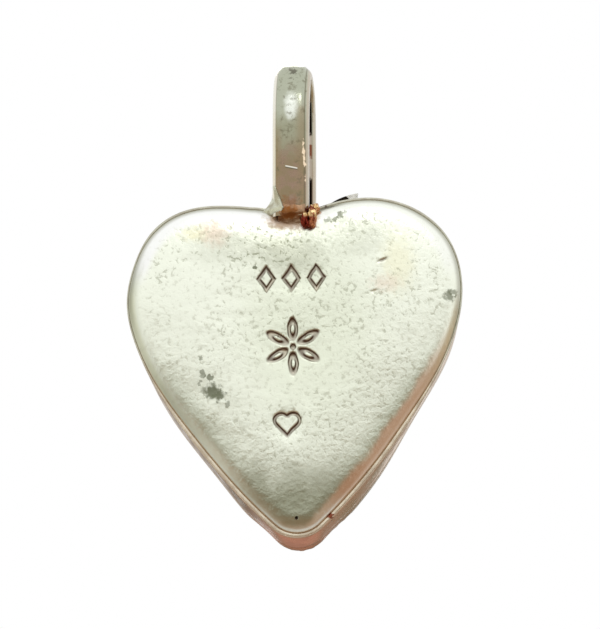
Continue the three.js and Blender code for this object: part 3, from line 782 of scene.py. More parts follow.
# Yellow-grey polished silver of the bail
strapLook = {
    "upper": tone(180, 184, 164),
    "middle": tone(160, 160, 136),
    "lower": tone(142, 126, 98),
    "mauve": tone(158, 132, 116),
    "paintedHighlight": tone(240, 244, 234),
    "line": tone(112, 106, 84),
    "edge": tone(242, 238, 226),
    "rightEdge": tone(198, 188, 170),
    "inside": tone(98, 86, 74),
    "insidePaleAndLit": tone(176, 164, 148),
    "shade": tone(26, 18, 14),
    "rust": tone(124, 76, 56),
    "band": tone(150, 132, 102),
    "scuff": tone(92, 88, 74),
    "gold": tone(255, 232, 200),
    "reddened": tone(140, 92, 54),
}
strapGlints = (  # middle, radius and stretch of each golden patch along the right edge
    ((-0.70, 1.6, 3.15), 0.2, (0.12, 2, 1.0)),
    ((-0.71, 1.6, 2.65), 0.28, (0.15, 2, 0.9)),
    ((-0.72, 1.6, 1.95), 0.28, (0.16, 2, 0.9)),
    ((-0.76, 1.6, 1.2), 0.16, (0.12, 2, 1.2)),
)
strapSilver, tree, shader, onBench, axes = newMaterial("strapSilver")
shader.inputs["Specular IOR Level"].default_value = 0.0  # the painted shade in the slit and the dirt below it are quite dull
speckle = addNode(tree, "ShaderNodeTexNoise", {"Vector": onBench, "Scale": 2.4, "Detail": 4.0,
                                               "Roughness": 0.65}).outputs[0]
# lighter near the top and darker and browner towards the foot: painted reflection, with tarnish low down
wandering = calc(tree, "ADD", axes["Z"], times(tree, speckle, 1.2))
colour = blend(tree, stretch(tree, wandering, 6.0, 4.6), strapLook["upper"], strapLook["middle"])
lowPaintedShadeAndTarnish = stretch(tree, wandering, 4.4, 2.4)
colour = blend(tree, lowPaintedShadeAndTarnish, colour, strapLook["lower"])
smear = cloudMask(tree, onBench, 1.0, 0.42, 0.6)
colour = blend(tree, times(tree, times(tree, smear, lowPaintedShadeAndTarnish), 0.8),
               colour, strapLook["mauve"])
# painted highlight on the back leg, just below its bend
paintedHighlight = spotAt(tree, onBench, (-0.03, 1.6, 5.3), 0.25, 0.6, 0.5, (0.6, 2, 1.35))
colour = lay(tree, colour, strapLook["paintedHighlight"], paintedHighlight, 0.9)
across = attribute(tree, "across")
band = times(tree, stretch(tree, across, -0.12, -0.62), stretch(tree, across, -0.84, -0.74))
band = times(tree, band, stretch(tree, wandering, 6.6, 5.4))
colour = lay(tree, colour, strapLook["band"], band, 0.55)
band = times(tree, stretch(tree, across, 0.35, 0.68), stretch(tree, wandering, 5.2, 4.0))
colour = lay(tree, colour, strapLook["band"], band, 0.55)
speckled = times(tree, stretch(tree, speckle, 0.46, 0.32), 0.6)
colour = blend(tree, speckled, colour, strapLook["line"])
sides = calc(tree, "ABSOLUTE", across)
line = times(tree, stretch(tree, sides, 0.74, 0.79), stretch(tree, sides, 0.845, 0.80))
colour = lay(tree, colour, strapLook["line"], line, 0.7)
# pale borders along both edges: painted reflection, with edge wear, paler on the left edge
litLeftShare = stretch(tree, across, -0.2, 0.2)
rim = stretch(tree, calc(tree, "ADD", sides, times(tree, litLeftShare, 0.08)), 0.83, 0.92)
rimColour = blend(tree, litLeftShare, strapLook["rightEdge"], strapLook["edge"])
colour = lay(tree, colour, rimColour, rim, 0.85)
for middle, radius, reach in strapGlints:
    glint = spotAt(tree, onBench, middle, radius, 0.25, 1.6, reach)
    glint = times(tree, glint, stretch(tree, speckle, 0.46, 0.54))
    colour = lay(tree, colour, strapLook["gold"], glint, 0.9)
scratchLine = calc(tree, "SUBTRACT", axes["Z"], times(tree, axes["X"], 0.25))
scratchEnds = times(tree, stretch(tree, axes["X"], -0.38, -0.3),
                    stretch(tree, axes["X"], 0.37, 0.29))
for level, tint in ((1.65, "scuff"), (1.71, "edge")):
    away = calc(tree, "ABSOLUTE", calc(tree, "SUBTRACT", scratchLine, level))
    mark = times(tree, stretch(tree, away, 0.06, 0.02), scratchEnds)
    colour = lay(tree, colour, strapLook[tint], mark, 0.85)
scuff = spotAt(tree, onBench, (-0.12, 0.9, 7.55), 0.14, 0.25, 1.6, (0.7, 2, 1.8))
scuff = times(tree, scuff, stretch(tree, speckle, 0.46, 0.54))
colour = lay(tree, colour, strapLook["scuff"], scuff, 0.8)
reddened = spotAt(tree, onBench, (0.25, 1.9, -0.5), 0.2, 0.55, 1.6, (1.2, 2, 0.9))
colour = lay(tree, colour, strapLook["reddened"], reddened, 0.5)
rag = calc(tree, "ADD", axes["Z"], times(tree, speckle, 1.0))
# painted shade: the slit between the legs is painted near black, and below about 2.5 the near black is dirt
slit = times(tree, stretch(tree, rag, 4.85, 5.1), stretch(tree, rag, 6.95, 6.7))
slitShadeAndFootDirt = calc(tree, "MAXIMUM", slit, stretch(tree, rag, 2.6, 2.3))
rusty = times(tree, stretch(tree, rag, 4.5, 4.3), stretch(tree, rag, 3.6, 3.8))
# painted shade: the loop's inner faces are dark between the legs, with paler tarnish clouds
tarnish = cloudMask(tree, onBench, 0.9, 0.3, 0.7)
innerColour = blend(tree, times(tree, tarnish, 0.5), strapLook["inside"], strapLook["insidePaleAndLit"])
# the painted shade of the slit, the dirt and rust below it and a paler painted band lie on the inside of
# the front leg, where its right side shows
seenSide = times(tree, stretch(tree, axes["X"], -0.35, -0.6), stretch(tree, axes["Y"], 0.0, -0.5))
# painted light: a paler band on the front leg's inside below the slit, where it faces outwards
worn = times(tree, seenSide, stretch(tree, rag, 5.1, 4.85))
innerColour = blend(tree, worn, innerColour, strapLook["insidePaleAndLit"])
innerColour = blend(tree, times(tree, rusty, seenSide), innerColour, strapLook["rust"])
seenShadeAndDirt = times(tree, slitShadeAndFootDirt, seenSide)
innerColour = blend(tree, seenShadeAndDirt, innerColour, strapLook["shade"])
inner = attribute(tree, "inner")
colour = blend(tree, inner, colour, innerColour)
seenShadeAndDirt = times(tree, inner, seenShadeAndDirt)
scuffs = hairMask(tree, onBench, 1.0, 0.1)
rough = stretch(tree, calc(tree, "MAXIMUM", smear, scuffs), 0, 1, 0.17, 0.28)
rough = calc(tree, "MAXIMUM", rough, times(tree, seenShadeAndDirt, 0.9))
tree.links.new(calc(tree, "SUBTRACT", 1.0, seenShadeAndDirt), shader.inputs["Metallic"])
plug(tree, shader, colour, rough, speckle, 0.35, 0.04)

bail = {
    "width": 2.06,
    "thickness": 1.1,
    "rounding": 0.45,
    "crown": 0.08,
    "topCrown": 0.22,  # the strap is rounder over its top
    "topTilt": 0.05,  # and worn lower at its right
    "taper": 0.05,  # and a little narrower
    "groove": 0.03,  # depth of the fine line inside the pale borders
    "grooveAt": 0.82,
    "grooveWidth": 0.05,
    "pitted": 0.012,
    "topFrom": (5.6, 7.6),  # levels between which the top's own shape takes over
    "taperFrom": (6.4, 8.2),
    "spread": 3.3,
    "top": 7.70,  # middle of the strap over the lobe tops
    "straight": 2.6,  # the legs are straight up to here and draw in above
    "fullness": 3.0,
    "foot": -1.1,
    "shift": -0.02,
    "setback": -0.3,
    "lean": -0.9,
    "twist": -3.8,
    "cleft": -0.8,
}
bailPlace = (Matrix.Translation((bail["shift"], bail["setback"], bail["cleft"]))
             @ Matrix.Rotation(math.radians(bail["lean"]), 4, "Y")
             @ Matrix.Rotation(math.radians(bail["twist"]), 4, "Z")
             @ Matrix.Translation((0, 0, -bail["cleft"])))


def bailPath():  # the strap's middle line in side view, as depth and height
    half, low, top = bail["spread"] / 2, bail["straight"], bail["top"]
    bend = []
    for i in range(60):
        share = math.sin(math.pi / 2 * i / 60)
        bend.append(Vector((half * math.sqrt(1 - share ** bail["fullness"]), 0,
                            low + (top - low) * share)))
    back = [Vector((half, 0, bail["foot"] + (low - bail["foot"]) * i / 14)) for i in range(14)] + bend
    front = [Vector((-p.x, 0, p.z)) for p in reversed(back)]
    return evenSteps(back + [Vector((0, 0, top))] + front, 150)


def strapSection():  # across the strap (x) and outwards (y), clockwise
    half, deep, radius = bail["width"] / 2, bail["thickness"] / 2, bail["rounding"]
    points = []
    for signX, signY, start in ((1, 1, 0), (-1, 1, 90), (-1, -1, 180), (1, -1, 270)):
        for i in range(13):
            turn = math.radians(start + 90 * i / 12)
            points.append((signX * (half - radius) + radius * math.cos(turn),
                           signY * (deep - radius) + radius * math.sin(turn)))
        if signX == 1 and signY == 1:
            points += [(x, deep) for x in (0.45, 0.3, 0.15, 0, -0.15, -0.3, -0.45)]
    return points


def buildBail():
    path = bailPath()
    section = strapSection()
    half = bail["width"] / 2
    rings = []
    for i, point in enumerate(path):
        along = (path[min(i + 1, len(path) - 1)] - path[max(i - 1, 0)]).normalized()
        out = Vector((along.z, 0, -along.x))  # away from the loop's middle
        nearTop = smoothStep(*bail["topFrom"], point.z)
        crown = bail["crown"] + (bail["topCrown"] - bail["crown"]) * nearTop
        ring = []
        for x, deep in section:
            reach = deep
            if deep > 0:
                reach -= crown * (abs(x) / half) ** 3 * deep / (bail["thickness"] / 2)
                reach -= bail["topTilt"] * (1 - x / half) * nearTop
                fromGroove = (abs(x) - bail["grooveAt"]) / bail["grooveWidth"]
                reach -= bail["groove"] * math.exp(-fromGroove ** 2)
                reach += bail["pitted"] * (noise.noise(Vector((x, point.x, point.z)) * 0.9) - 1)
            high = point.z + out.z * reach
            narrow = 1 - bail["taper"] * smoothStep(*bail["taperFrom"], high) ** 1.5 / half
            ring.append(bailPlace @ Vector((x * narrow, point.x + out.x * reach, high)))
        rings.append(ring)
    bm = bmesh.new()
    acrossLayer = bm.verts.layers.float.new("across")
    innerLayer = bm.verts.layers.float.new("inner")
    loops = skinRings(bm, rings)
    for loop in loops:
        for vert, (x, deep) in zip(loop, section):
            vert[acrossLayer] = x / half
            vert[innerLayer] = smoothStep(-0.43, -0.475, deep)
    return finishPiece("bail_strap", bm, "bail", strapSilver)


buildBail()
print("bail made")


# Coppery solder: dark red in its hollows, darker on its left as painted shade, with painted gold highlights
# up high where it caught the light
solderLook = {
    "copper": tone(206, 142, 100),
    "hollow": tone(120, 48, 34),
    "left": tone(118, 44, 32),
    "gold": tone(255, 226, 170),
    "thin": tone(166, 136, 108),
    "thinCore": tone(132, 84, 44),
    "thinPatch": tone(128, 88, 64),
    "thinTop": tone(150, 126, 100),
    "thinFoot": tone(204, 184, 160),
    "pale": tone(206, 208, 190),
    "paleWorn": tone(176, 172, 150),
}
redSolder, tree, shader, onBench, axes = newMaterial("redSolder")
patch = cloudMask(tree, onBench, 2.4, 0.4, 0.6)
colour = blend(tree, patch, solderLook["copper"], solderLook["hollow"])
# painted shade: darker towards its left
left = stretch(tree, axes["X"], -1.12, -0.92)
colour = blend(tree, left, colour, solderLook["left"])
# painted highlight: gold on its upper part
goldHighlight = cloudMask(tree, onBench, 3.4, 0.49, 0.57)
high = stretch(tree, axes["Z"], -1.3, -1.0)
colour = blend(tree, times(tree, goldHighlight, high), colour, solderLook["gold"])
rough = stretch(tree, patch, 0, 1, 0.22, 0.5)
lumps = dimpled(tree, onBench, 4.0, 0.8)
plug(tree, shader, colour, rough, lumps, 0.6, 0.06)

# Solder that ran out thin over the plate: brown at its middle, pinkish at its edges
thinSolder, tree, shader, onBench, axes = newMaterial("thinSolder")
core = spotAt(tree, onBench, (0.15, 1.8, -1.0), 0.25, 0.5, 1.2, (1.3, 2, 0.9))
colour = blend(tree, core, solderLook["thin"], solderLook["thinCore"])
patch = cloudMask(tree, onBench, 2.2, 0.45, 0.7)
colour = lay(tree, colour, solderLook["thinPatch"], patch, 0.6)
colour = blend(tree, stretch(tree, axes["Z"], -0.35, 0.0), colour, solderLook["thinTop"])
colour = blend(tree, stretch(tree, axes["Z"], -1.25, -1.5), colour, solderLook["thinFoot"])
rough = stretch(tree, patch, 0, 1, 0.30, 0.46)
lumps = dimpled(tree, onBench, 3.0, 0.7)
plug(tree, shader, colour, rough, lumps, 0.5, 0.05)

# Silver solder of the web and of the front leg's foot
paleSolder, tree, shader, onBench, axes = newMaterial("paleSolder")
patch = cloudMask(tree, onBench, 1.8, 0.4, 0.65)
colour = blend(tree, patch, solderLook["pale"], solderLook["paleWorn"])
rough = stretch(tree, patch, 0, 1, 0.26, 0.4)
lumps = dimpled(tree, onBench, 3.0, 0.6)
plug(tree, shader, colour, rough, lumps, 0.4, 0.04)

solder = {
    "lump": [
        {"middle": (-1.12, 1.64, -1.15), "size": (0.27, 0.34, 0.66), "rough": 0.09, "seed": 3.0},
        {"middle": (-0.70, 1.74, -1.36), "size": (0.22, 0.26, 0.44), "rough": 0.07, "seed": 6.0},
        {"middle": (-0.98, 1.80, -1.60), "size": (0.20, 0.20, 0.22), "rough": 0.06, "seed": 9.0},
        {"middle": (-1.32, 1.42, -0.62), "size": (0.20, 0.24, 0.30), "rough": 0.07, "seed": 2.0},
    ],
    "frontPad": [
        {"middle": (-0.2, -2.22, -1.4), "size": (0.88, 0.36, 0.66), "rough": 0.05, "seed": 5.0},
    ],
    "pad": {
        "half": 0.82,
        "steps": 40,
        "rough": 0.03,
        "ragged": 0.15,
        "endsFrom": 0.6,  # share of the half width from which it dies away
        "endDrop": 0.3,
        # outer line in knots and handles, and inner line in points, as (depth, height)
        "outer": [((1.82, -0.15), (1.91, -0.35), (1.95, -0.55), (1.97, -0.82)),
                  ((1.97, -0.82), (1.99, -1.14), (1.70, -1.30), (1.34, -1.56))],
        "inner": [(1.15, -1.9), (1.1, -1.0), (1.2, -0.2)],
    },
    "web": {
        "left": 1.1,
        "flare": 0.56,
        "leftDepth": 1.25,
        "ridge": 0.95,
        "spread": 0.40,
        "ridgeDepth": 1.70,
        "ridgeSwell": 0.34,
        "cornerDepth": 1.72,
        "cornerSwell": 0.05,
        "low": -0.62,
        "high": 0.70,
        "under": 0.45,  # how far it goes on below, rounded off
        "steps": 24,
        "bottomSteps": 8,
        "across": 14,
        "rough": 0.015,
    },
}


def solderLumps(name, node, blobs, material):
    bm = bmesh.new()
    for use in blobs:
        made = bmesh.ops.create_icosphere(bm, subdivisions=5, radius=1)["verts"]
        for vert in made:
            bump = noise.noise(vert.co * 1.6 + Vector((use["seed"], 0, 0)))
            bump += 0.5 * noise.noise(vert.co * 3.7 + Vector((0, use["seed"], 0)))
            bump += 0.25 * noise.noise(vert.co * 8.0 + Vector((0, 0, use["seed"])))
            place = Vector(a * b for a, b in zip(vert.co, use["size"]))
            vert.co = place + vert.co * bump * use["rough"] + Vector(use["middle"])
    return finishPiece(name, bm, node, material)


def solderPad():  # a thin fillet from the strap's back face down on to the plate
    use = solder["pad"]
    profile = evenSteps(bezierLine(use["outer"]), 26)
    inside = [Vector((depth, 0, height)) for depth, height in use["inner"]]
    rings = []
    for i in range(use["steps"] + 1):
        u = -1 + 2 * i / use["steps"]
        x = u * use["half"]
        corner = max(0.0, (abs(u) - use["endsFrom"]) / (1 - use["endsFrom"]))
        sunk = use["endDrop"] * (1 - math.sqrt(max(0.0, 1 - corner * corner)))
        ragged = use["ragged"] * noise.noise(Vector((x * 2.0, 0, 4)))
        ring = []
        for point in profile:  # depth is kept in x here and height in z
            bump = use["rough"] * noise.noise(Vector((x, point.x, point.z)) * 3.0)
            lift = smoothStep(-0.2, -0.9, point.z)
            ring.append(Vector((x, point.x + bump - sunk - 0.05 * (1 - lift), point.z + ragged * lift)))
        ring += [Vector((x, point.x, point.z)) for point in inside]
        rings.append(ring)
    bm = bmesh.new()
    skinRings(bm, rings)
    return finishPiece("solder_pad_back", bm, "bail_solder_back", thinSolder, 70)


def solderWeb():  # a fillet that flares from the strap's left corner down to the rim
    use = solder["web"]
    rings = []
    bottom, steps = use["bottomSteps"], use["steps"]
    levels = []  # height, share of the flare and share of the rounded bottom
    for i in range(bottom, 0, -1):
        below = math.sin(math.pi / 2 * i / bottom)
        levels.append((use["low"] - use["under"] * below, 1.0, below))
    for i in range(steps + 1):
        levels.append((use["low"] + (use["high"] - use["low"]) * i / steps, 1 - i / steps, 0.0))
    for level, low, below in levels:
        left = Vector((use["left"] + use["flare"] * low ** 3, use["leftDepth"], level))
        ridge = Vector((use["ridge"] - use["spread"] * low,
                        use["ridgeDepth"] + use["ridgeSwell"] * low ** 0.7, level))
        corner = Vector((use["left"], use["cornerDepth"] + use["cornerSwell"] * low, level))
        bend = corner.lerp((left + ridge) / 2, 0.75 * low)
        ring = [Vector((use["left"] - 0.35, 0.95, level)), Vector((left.x - 0.12, 1.0, level))]
        for i in range(use["across"] + 1):
            share = i / use["across"]
            point = left.lerp(bend, share).lerp(bend.lerp(ridge, share), share)
            wobble = use["rough"] * noise.noise(point * 2.5)
            ring.append(point + Vector((wobble, wobble, 0)))
        ring += [Vector((ridge.x - 0.10, ridge.y - 0.07, level)), Vector((ridge.x - 0.14, 1.6, level)),
                 Vector((ridge.x - 0.05, 1.2, level))]
        middle = Vector((use["left"] - 0.15, 1.35, level))
        shrink = math.sqrt(max(0.04, 1 - below ** 2))
        rings.append([middle.lerp(point, shrink) for point in ring])
    bm = bmesh.new()
    skinRings(bm, rings)
    return finishPiece("solder_web", bm, "bail_solder_web", paleSolder, 50)


solderLumps("solder_lumps", "bail_solder_lump", solder["lump"], redSolder)
solderLumps("solder_pad_front", "bail_solder_front", solder["frontPad"], paleSolder)
solderPad()
solderWeb()
print("solder made")


# Bright silver of the ornament: polished on its heights, black in its grooves
brightLook = {
    "high": tone(226, 224, 214),
    "warm": tone(212, 198, 168),
    "groove": tone(40, 34, 28),
}
brightSilver, tree, shader, onBench, axes = newMaterial("brightSilver")
warm = cloudMask(tree, onBench, 0.8, 0.45, 0.7)
colour = blend(tree, warm, brightLook["high"], brightLook["warm"])
grime = cloudMask(tree, onBench, 3.0, 0.3, 0.75)
low = attribute(tree, "low")
worn = stretch(tree, calc(tree, "ADD", low, times(tree, grime, 0.25)), 0.45, 0.85)
colour = blend(tree, worn, colour, brightLook["groove"])
hair = hairMask(tree, onBench, 1.4, 0.08)
rough = stretch(tree, calc(tree, "MAXIMUM", worn, times(tree, hair, 0.4)), 0, 1, 0.16, 0.5)
peel = dimpled(tree, onBench, 1.6, 0.5)
plug(tree, shader, colour, rough, peel, 0.25, 0.03)

# Blackened ground of the front plate
groundLook = {
    "black": tone(58, 52, 46),
    "brownish": tone(84, 74, 62),
    "rubbed": tone(132, 124, 110),
    "rim": tone(204, 188, 166),
    "rimAtTip": tone(226, 180, 158),
}
darkSilver, tree, shader, onBench, axes = newMaterial("darkSilver")
patch = cloudMask(tree, onBench, 0.7, 0.35, 0.7)
colour = blend(tree, patch, groundLook["black"], groundLook["brownish"])
rubbed = stretch(tree, attribute(tree, "high"), 0.4, 1.0)
colour = blend(tree, rubbed, colour, groundLook["rubbed"])
atTip = spotAt(tree, onBench, (0.6, -1.4, -19.6), 1.0, 3.5, 0.5, (1, 2, 1))
rimColour = blend(tree, atTip, groundLook["rim"], groundLook["rimAtTip"])
colour = blend(tree, attribute(tree, "rim"), colour, rimColour)
rough = stretch(tree, rubbed, 0, 1, 0.55, 0.3)
peel = dimpled(tree, onBench, 4.0, 0.8)
plug(tree, shader, colour, rough, peel, 0.4, 0.03)

front = {
    "sheet": 0.6,
    "gap": 0.02,
    "chamfer": 0.1,
    "rings": 110,
    "stipple": 0.52,  # spacing of the punched dots
    "stippleDepth": 0.05,
    "middle": Vector((0, 0, -8.6)),
}
frontFace = -(heart["wallDepth"] / 2 + front["gap"] + front["sheet"])
ornamentBase = frontFace - front["gap"]


def stippleAt(x, z):  # 1 on the ridges between the punched dots, 0 at the bottom of a dot
    spacing = front["stipple"]
    near = noise.voronoi(Vector((x / spacing, 0, z / spacing)), distance_metric="DISTANCE")[0]
    return smoothStep(0.15, 0.75, near[0])


def buildFrontPlate():
    outline = heartEdge(1)
    inner = drawIn(outline, front["chamfer"])
    back = frontFace + front["sheet"]
    rings = [
        atDepth(shrinkTo(inner, front["middle"], 0.85), back), atDepth(inner, back),
        atDepth(outline, back - 0.05), atDepth(outline, frontFace + front["chamfer"]),
        atDepth(drawIn(outline, front["chamfer"] * 0.3), frontFace + front["chamfer"] * 0.3),
    ]
    for i in range(front["rings"]):
        rings.append(atDepth(shrinkTo(inner, front["middle"], i / front["rings"]), frontFace))
    bm = bmesh.new()
    layer = bm.verts.layers.float.new("high")
    rimLayer = bm.verts.layers.float.new("rim")
    loops = skinRings(bm, rings)
    for loop in loops[6:]:
        for vert in loop:
            high = stippleAt(vert.co.x, vert.co.z)
            vert[layer] = high
            vert.co.y += front["stippleDepth"] * (1 - high)
    for loop in loops[2:6]:
        for vert in loop:
            vert[layer] = vert[rimLayer] = 1.0
    return finishPiece("front_plate_ground", bm, "front_plate", darkSilver)


buildFrontPlate()

rope = {
    "wire": 0.7,
    "inset": 0.45,  # of its middle line, from the front plate's edge
    "strands": 3,
    "strand": 0.185,  # radius of one strand
    "pitch": 1.7,
    "start": 1.5,
    "end": 3.9,
    "stepsPerTurn": 24,
    "sides": 12,
}


def tubeRing(middle, side, out, radius, sides):
    return [middle + (side * math.cos(turn) + out * math.sin(turn)) * radius
            for turn in (2 * math.pi * i / sides for i in range(sides))]


def buildRope():
    reach = rope["wire"] / 2
    track = [p for p in drawIn(heartEdge(1), rope["inset"])
             if p.z < -heart["widestDrop"] or p.x > rope["start"] or p.x < -rope["end"]]
    length = sum((b - a).length for a, b in zip(track, track[1:]))
    count = int(length / rope["pitch"] * rope["stepsPerTurn"])
    path = evenSteps(track, count)
    outwards = Vector((0, -1, 0))
    alongs = [(path[min(i + 1, count - 1)] - path[max(i - 1, 0)]).normalized() for i in range(count)]
    bm = bmesh.new()
    layer = bm.verts.layers.float.new("low")
    swing = reach - rope["strand"]
    for strand in range(rope["strands"]):
        middles = []
        for i, point in enumerate(path):
            side = alongs[i].cross(outwards)
            turn = 2 * math.pi * (strand / rope["strands"] + i / rope["stepsPerTurn"])
            middle = point + (side * math.cos(turn) + outwards * math.sin(turn)) * swing
            middles.append(Vector((middle.x, middle.y + ornamentBase - reach, middle.z)))
        rings = []
        for i, middle in enumerate(middles):
            along = (middles[min(i + 1, count - 1)] - middles[max(i - 1, 0)]).normalized()
            side = along.cross(outwards).normalized()
            out = side.cross(along)
            ends = min(i, count - 1 - i) / 3
            radius = rope["strand"] * math.sqrt(1 - (1 - min(1, ends)) ** 2 * 0.9)
            rings.append(tubeRing(middle, side, out, radius, rope["sides"]))
        skinRings(bm, rings)
    for vert in bm.verts:
        depth = (vert.co.y - ornamentBase) / rope["wire"]  # 0 at the foot, -1 at the crest
        vert[layer] = smoothStep(-0.5, -0.1, depth)
    return finishPiece("rope_border", bm, "border_wire", brightSilver, 80)


buildRope()
print("front plate and rope made")

petal = {
    "rise": 0.55,
    "edge": 0.38,  # share of the rise that the cut edge takes
    "rows": 110,
    "across": 40,
    "gap": 0.16,
}
tulip = {"height": 6.2, "width": 6.8, "middleWidth": 2.5, "stem": 4.2, "stemWire": 0.7, "bow": 0.35,
         "shift": 0.55}
sprayHeight = tulip["height"] + 2 * petal["gap"] + tulip["stem"]
petalTop = (sprayHeight - heart["height"]) / 2 - tulip["shift"]
petalFoot = petalTop - tulip["height"]
stemTop = petalFoot - 2 * petal["gap"]
stemFoot = stemTop - tulip["stem"]


def raisedPiece(name, node, edges, relief, bareFrom=1.0):  # the underside is bright from there on
    rows, across = petal["rows"], petal["across"]
    near, far = (evenSteps(edge, rows) + [edge[-1]] for edge in edges)
    rings, lows = [], []
    for i in range(1, rows):
        share = i / rows
        a, b = near[i], far[i]
        width = (b - a).length / 2
        ring, low = [Vector((a.x, ornamentBase, a.z))], [1.0]
        for j in range(across + 1):
            u = -math.cos(math.pi * j / across)
            point = a.lerp(b, (u + 1) / 2)
            fullness = min(1.0, width / 0.55)
            crown = math.sqrt(max(0.0, 1 - u * u))
            cut = relief(u, share, width)
            height = petal["edge"] + (1 - petal["edge"]) * crown * fullness - cut
            ring.append(Vector((point.x, ornamentBase - petal["rise"] * height, point.z)))
            low.append(min(1.0, cut * 4 + 0.5 * (1 - crown) ** 2))
        ring.append(Vector((b.x, ornamentBase, b.z)))
        low.append(1.0)
        for j in range(1, 6):
            point = b.lerp(a, j / 6)
            ring.append(Vector((point.x, ornamentBase, point.z)))
            low.append(1.0)
        if share > bareFrom:
            low = [min(value, 0.2 + 0.5 * (i % 3 == 0)) for value in low]
        rings.append(ring)
        lows.append(low)
    bm = bmesh.new()
    layer = bm.verts.layers.float.new("low")
    loops = skinRings(bm, rings)
    for loop, low in zip(loops, lows):
        for vert, value in zip(loop, low):
            vert[layer] = value
    return finishPiece(name, bm, node, brightSilver, 50)


def grooveAt(distance, width):
    return math.exp(-(distance / width) ** 2)


def leafRelief(length):  # a midrib and slanting veins
    def relief(u, share, width):
        away = abs(u) * width
        phase = (share * length - away * 0.8) / 0.46
        vein = grooveAt(abs(phase - round(phase)), 0.16)
        fade = smoothStep(0.05, 0.25, share) * smoothStep(1.0, 0.85, share)
        veins = vein * smoothStep(0.06, 0.2, away) * smoothStep(1.0, 0.75, abs(u)) * fade
        return 0.20 * grooveAt(away, 0.07) + 0.12 * veins
    return relief


def petalRelief(flutes):  # long flutes that run together at the foot
    def relief(u, share, width):
        phase = (u + 1) / 2 * flutes
        line = grooveAt(abs(phase - round(phase)), 0.13)
        inside = smoothStep(1.0, 0.85, abs(u))
        fade = smoothStep(0.02, 0.15, share) * smoothStep(0.97, 0.7, share)
        return 0.16 * line * inside * fade
    return relief


def leafEdges(foot, length, width, angle):
    edges = []
    for side in (1, -1):
        line = bezierLine([((0, 0), (length * 0.2, side * width * 0.75),
                            (length * 0.6, side * width * 0.65), (length, 0))])
        turn = math.radians(angle)
        edges.append([Vector((foot[0] + p.x * math.cos(turn) - p.z * math.sin(turn), 0,
                              foot[1] + p.x * math.sin(turn) + p.z * math.cos(turn))) for p in line])
    return edges


leaves = {
    "lower": {"length": 4.6, "width": 1.7, "angle": 42, "rise": 0.9},
    "upper": {"length": 3.1, "width": 1.45},
    "raised": {"foot": (-1.34, -1.15), "angle": 136},
    "resting": {"foot": (1.45, -2.05), "angle": -18},
}
lower, upper = leaves["lower"], leaves["upper"]
for name, side in (("right", 1), ("left", -1)):
    foot = (side * (tulip["stemWire"] / 2 + petal["gap"]), stemFoot + lower["rise"])
    angle = lower["angle"] if side > 0 else 180 - lower["angle"]
    raisedPiece("leaf_lower_" + name, "lower_" + name + "_leaf",
                leafEdges(foot, lower["length"], lower["width"], angle), leafRelief(lower["length"]))
for name, node in (("raised", "upper_left_leaf"), ("resting", "upper_right_leaf")):
    raisedPiece("leaf_" + name, node,
                leafEdges(leaves[name]["foot"], upper["length"], upper["width"], leaves[name]["angle"]),
                leafRelief(upper["length"]), 0.8)

half = tulip["middleWidth"] / 2
pull = tulip["height"] * 0.3
raisedPiece("petal_middle", "tulip_middle_petal", [
    bezierLine([((0, petalFoot), (side * half * 1.5, petalFoot + pull),
                 (side * half * 1.2, petalTop - pull), (0, petalTop))]) for side in (-1, 1)
], petalRelief(4))
for name, side in (("right", 1), ("left", -1)):
    near = side * (half + petal["gap"])
    far = side * tulip["width"] / 2
    foot = (side * petal["gap"], petalFoot - petal["gap"])
    parting = (near, petalFoot + tulip["height"] * 0.45)
    waist = petalFoot + tulip["height"] * 0.72
    outer = bezierLine([(foot, (far, petalFoot), (far * 1.1, petalFoot + tulip["height"] * 0.4),
                         (far, petalTop))])
    inner = bezierLine([
        (foot, (near * 0.72, petalFoot + tulip["height"] * 0.1125),
         (near, petalFoot + tulip["height"] * 0.225), parting),
        (parting, (near * 1.1, waist), (far * 0.8, waist), (far, petalTop)),
    ])
    raisedPiece("petal_" + name, "tulip_" + name + "_petal", [inner, outer], petalRelief(4))
print("leaves and petals made")


def wirePiece(name, node, path, radiusAt, ball=None):
    outwards = Vector((0, -1, 0))
    rings = []
    count = len(path)
    for i, point in enumerate(path):
        along = (path[min(i + 1, count - 1)] - path[max(i - 1, 0)]).normalized()
        side = along.cross(outwards)
        rings.append(tubeRing(point, side, outwards, radiusAt(i / (count - 1)), 20))
    bm = bmesh.new()
    layer = bm.verts.layers.float.new("low")
    skinRings(bm, rings)
    if ball:
        place, radius = ball
        bmesh.ops.create_icosphere(bm, subdivisions=4, radius=radius, matrix=Matrix.Translation(place))
    for vert in bm.verts:
        vert[layer] = smoothStep(-0.32, -0.1, vert.co.y - ornamentBase)
    return finishPiece(name, bm, node, brightSilver, 60)


def stemRadius(share):  # swells into a collar at both ends
    collar = grooveAt(share - 0.06, 0.028) + grooveAt(share - 0.155, 0.02) + grooveAt(share - 0.95, 0.04)
    taper = math.sqrt(max(0.0, 1 - (max(0.0, 0.012 - min(share, 1 - share)) / 0.012) ** 2))
    return (tulip["stemWire"] / 2 - 0.07 + 0.07 * min(1, collar)) * max(0.3, taper)


stemDepth = ornamentBase - tulip["stemWire"] / 2
stemLine = interpolate_bezier(
    Vector((0, stemDepth, stemTop)),
    Vector((tulip["bow"] * 1.333, stemDepth, stemTop - tulip["stem"] * 0.3)),
    Vector((tulip["bow"] * 1.333, stemDepth, stemFoot + tulip["stem"] * 0.3)),
    Vector((0, stemDepth, stemFoot)), 90)
wirePiece("stem_wire", "tulip_stem", stemLine, stemRadius)

scroll = {"wire": 0.6, "eye": 0.5, "pitch": 0.72, "gap": 0.45, "tulipGap": 0.15, "rise": 1.85, "ball": 0.40}


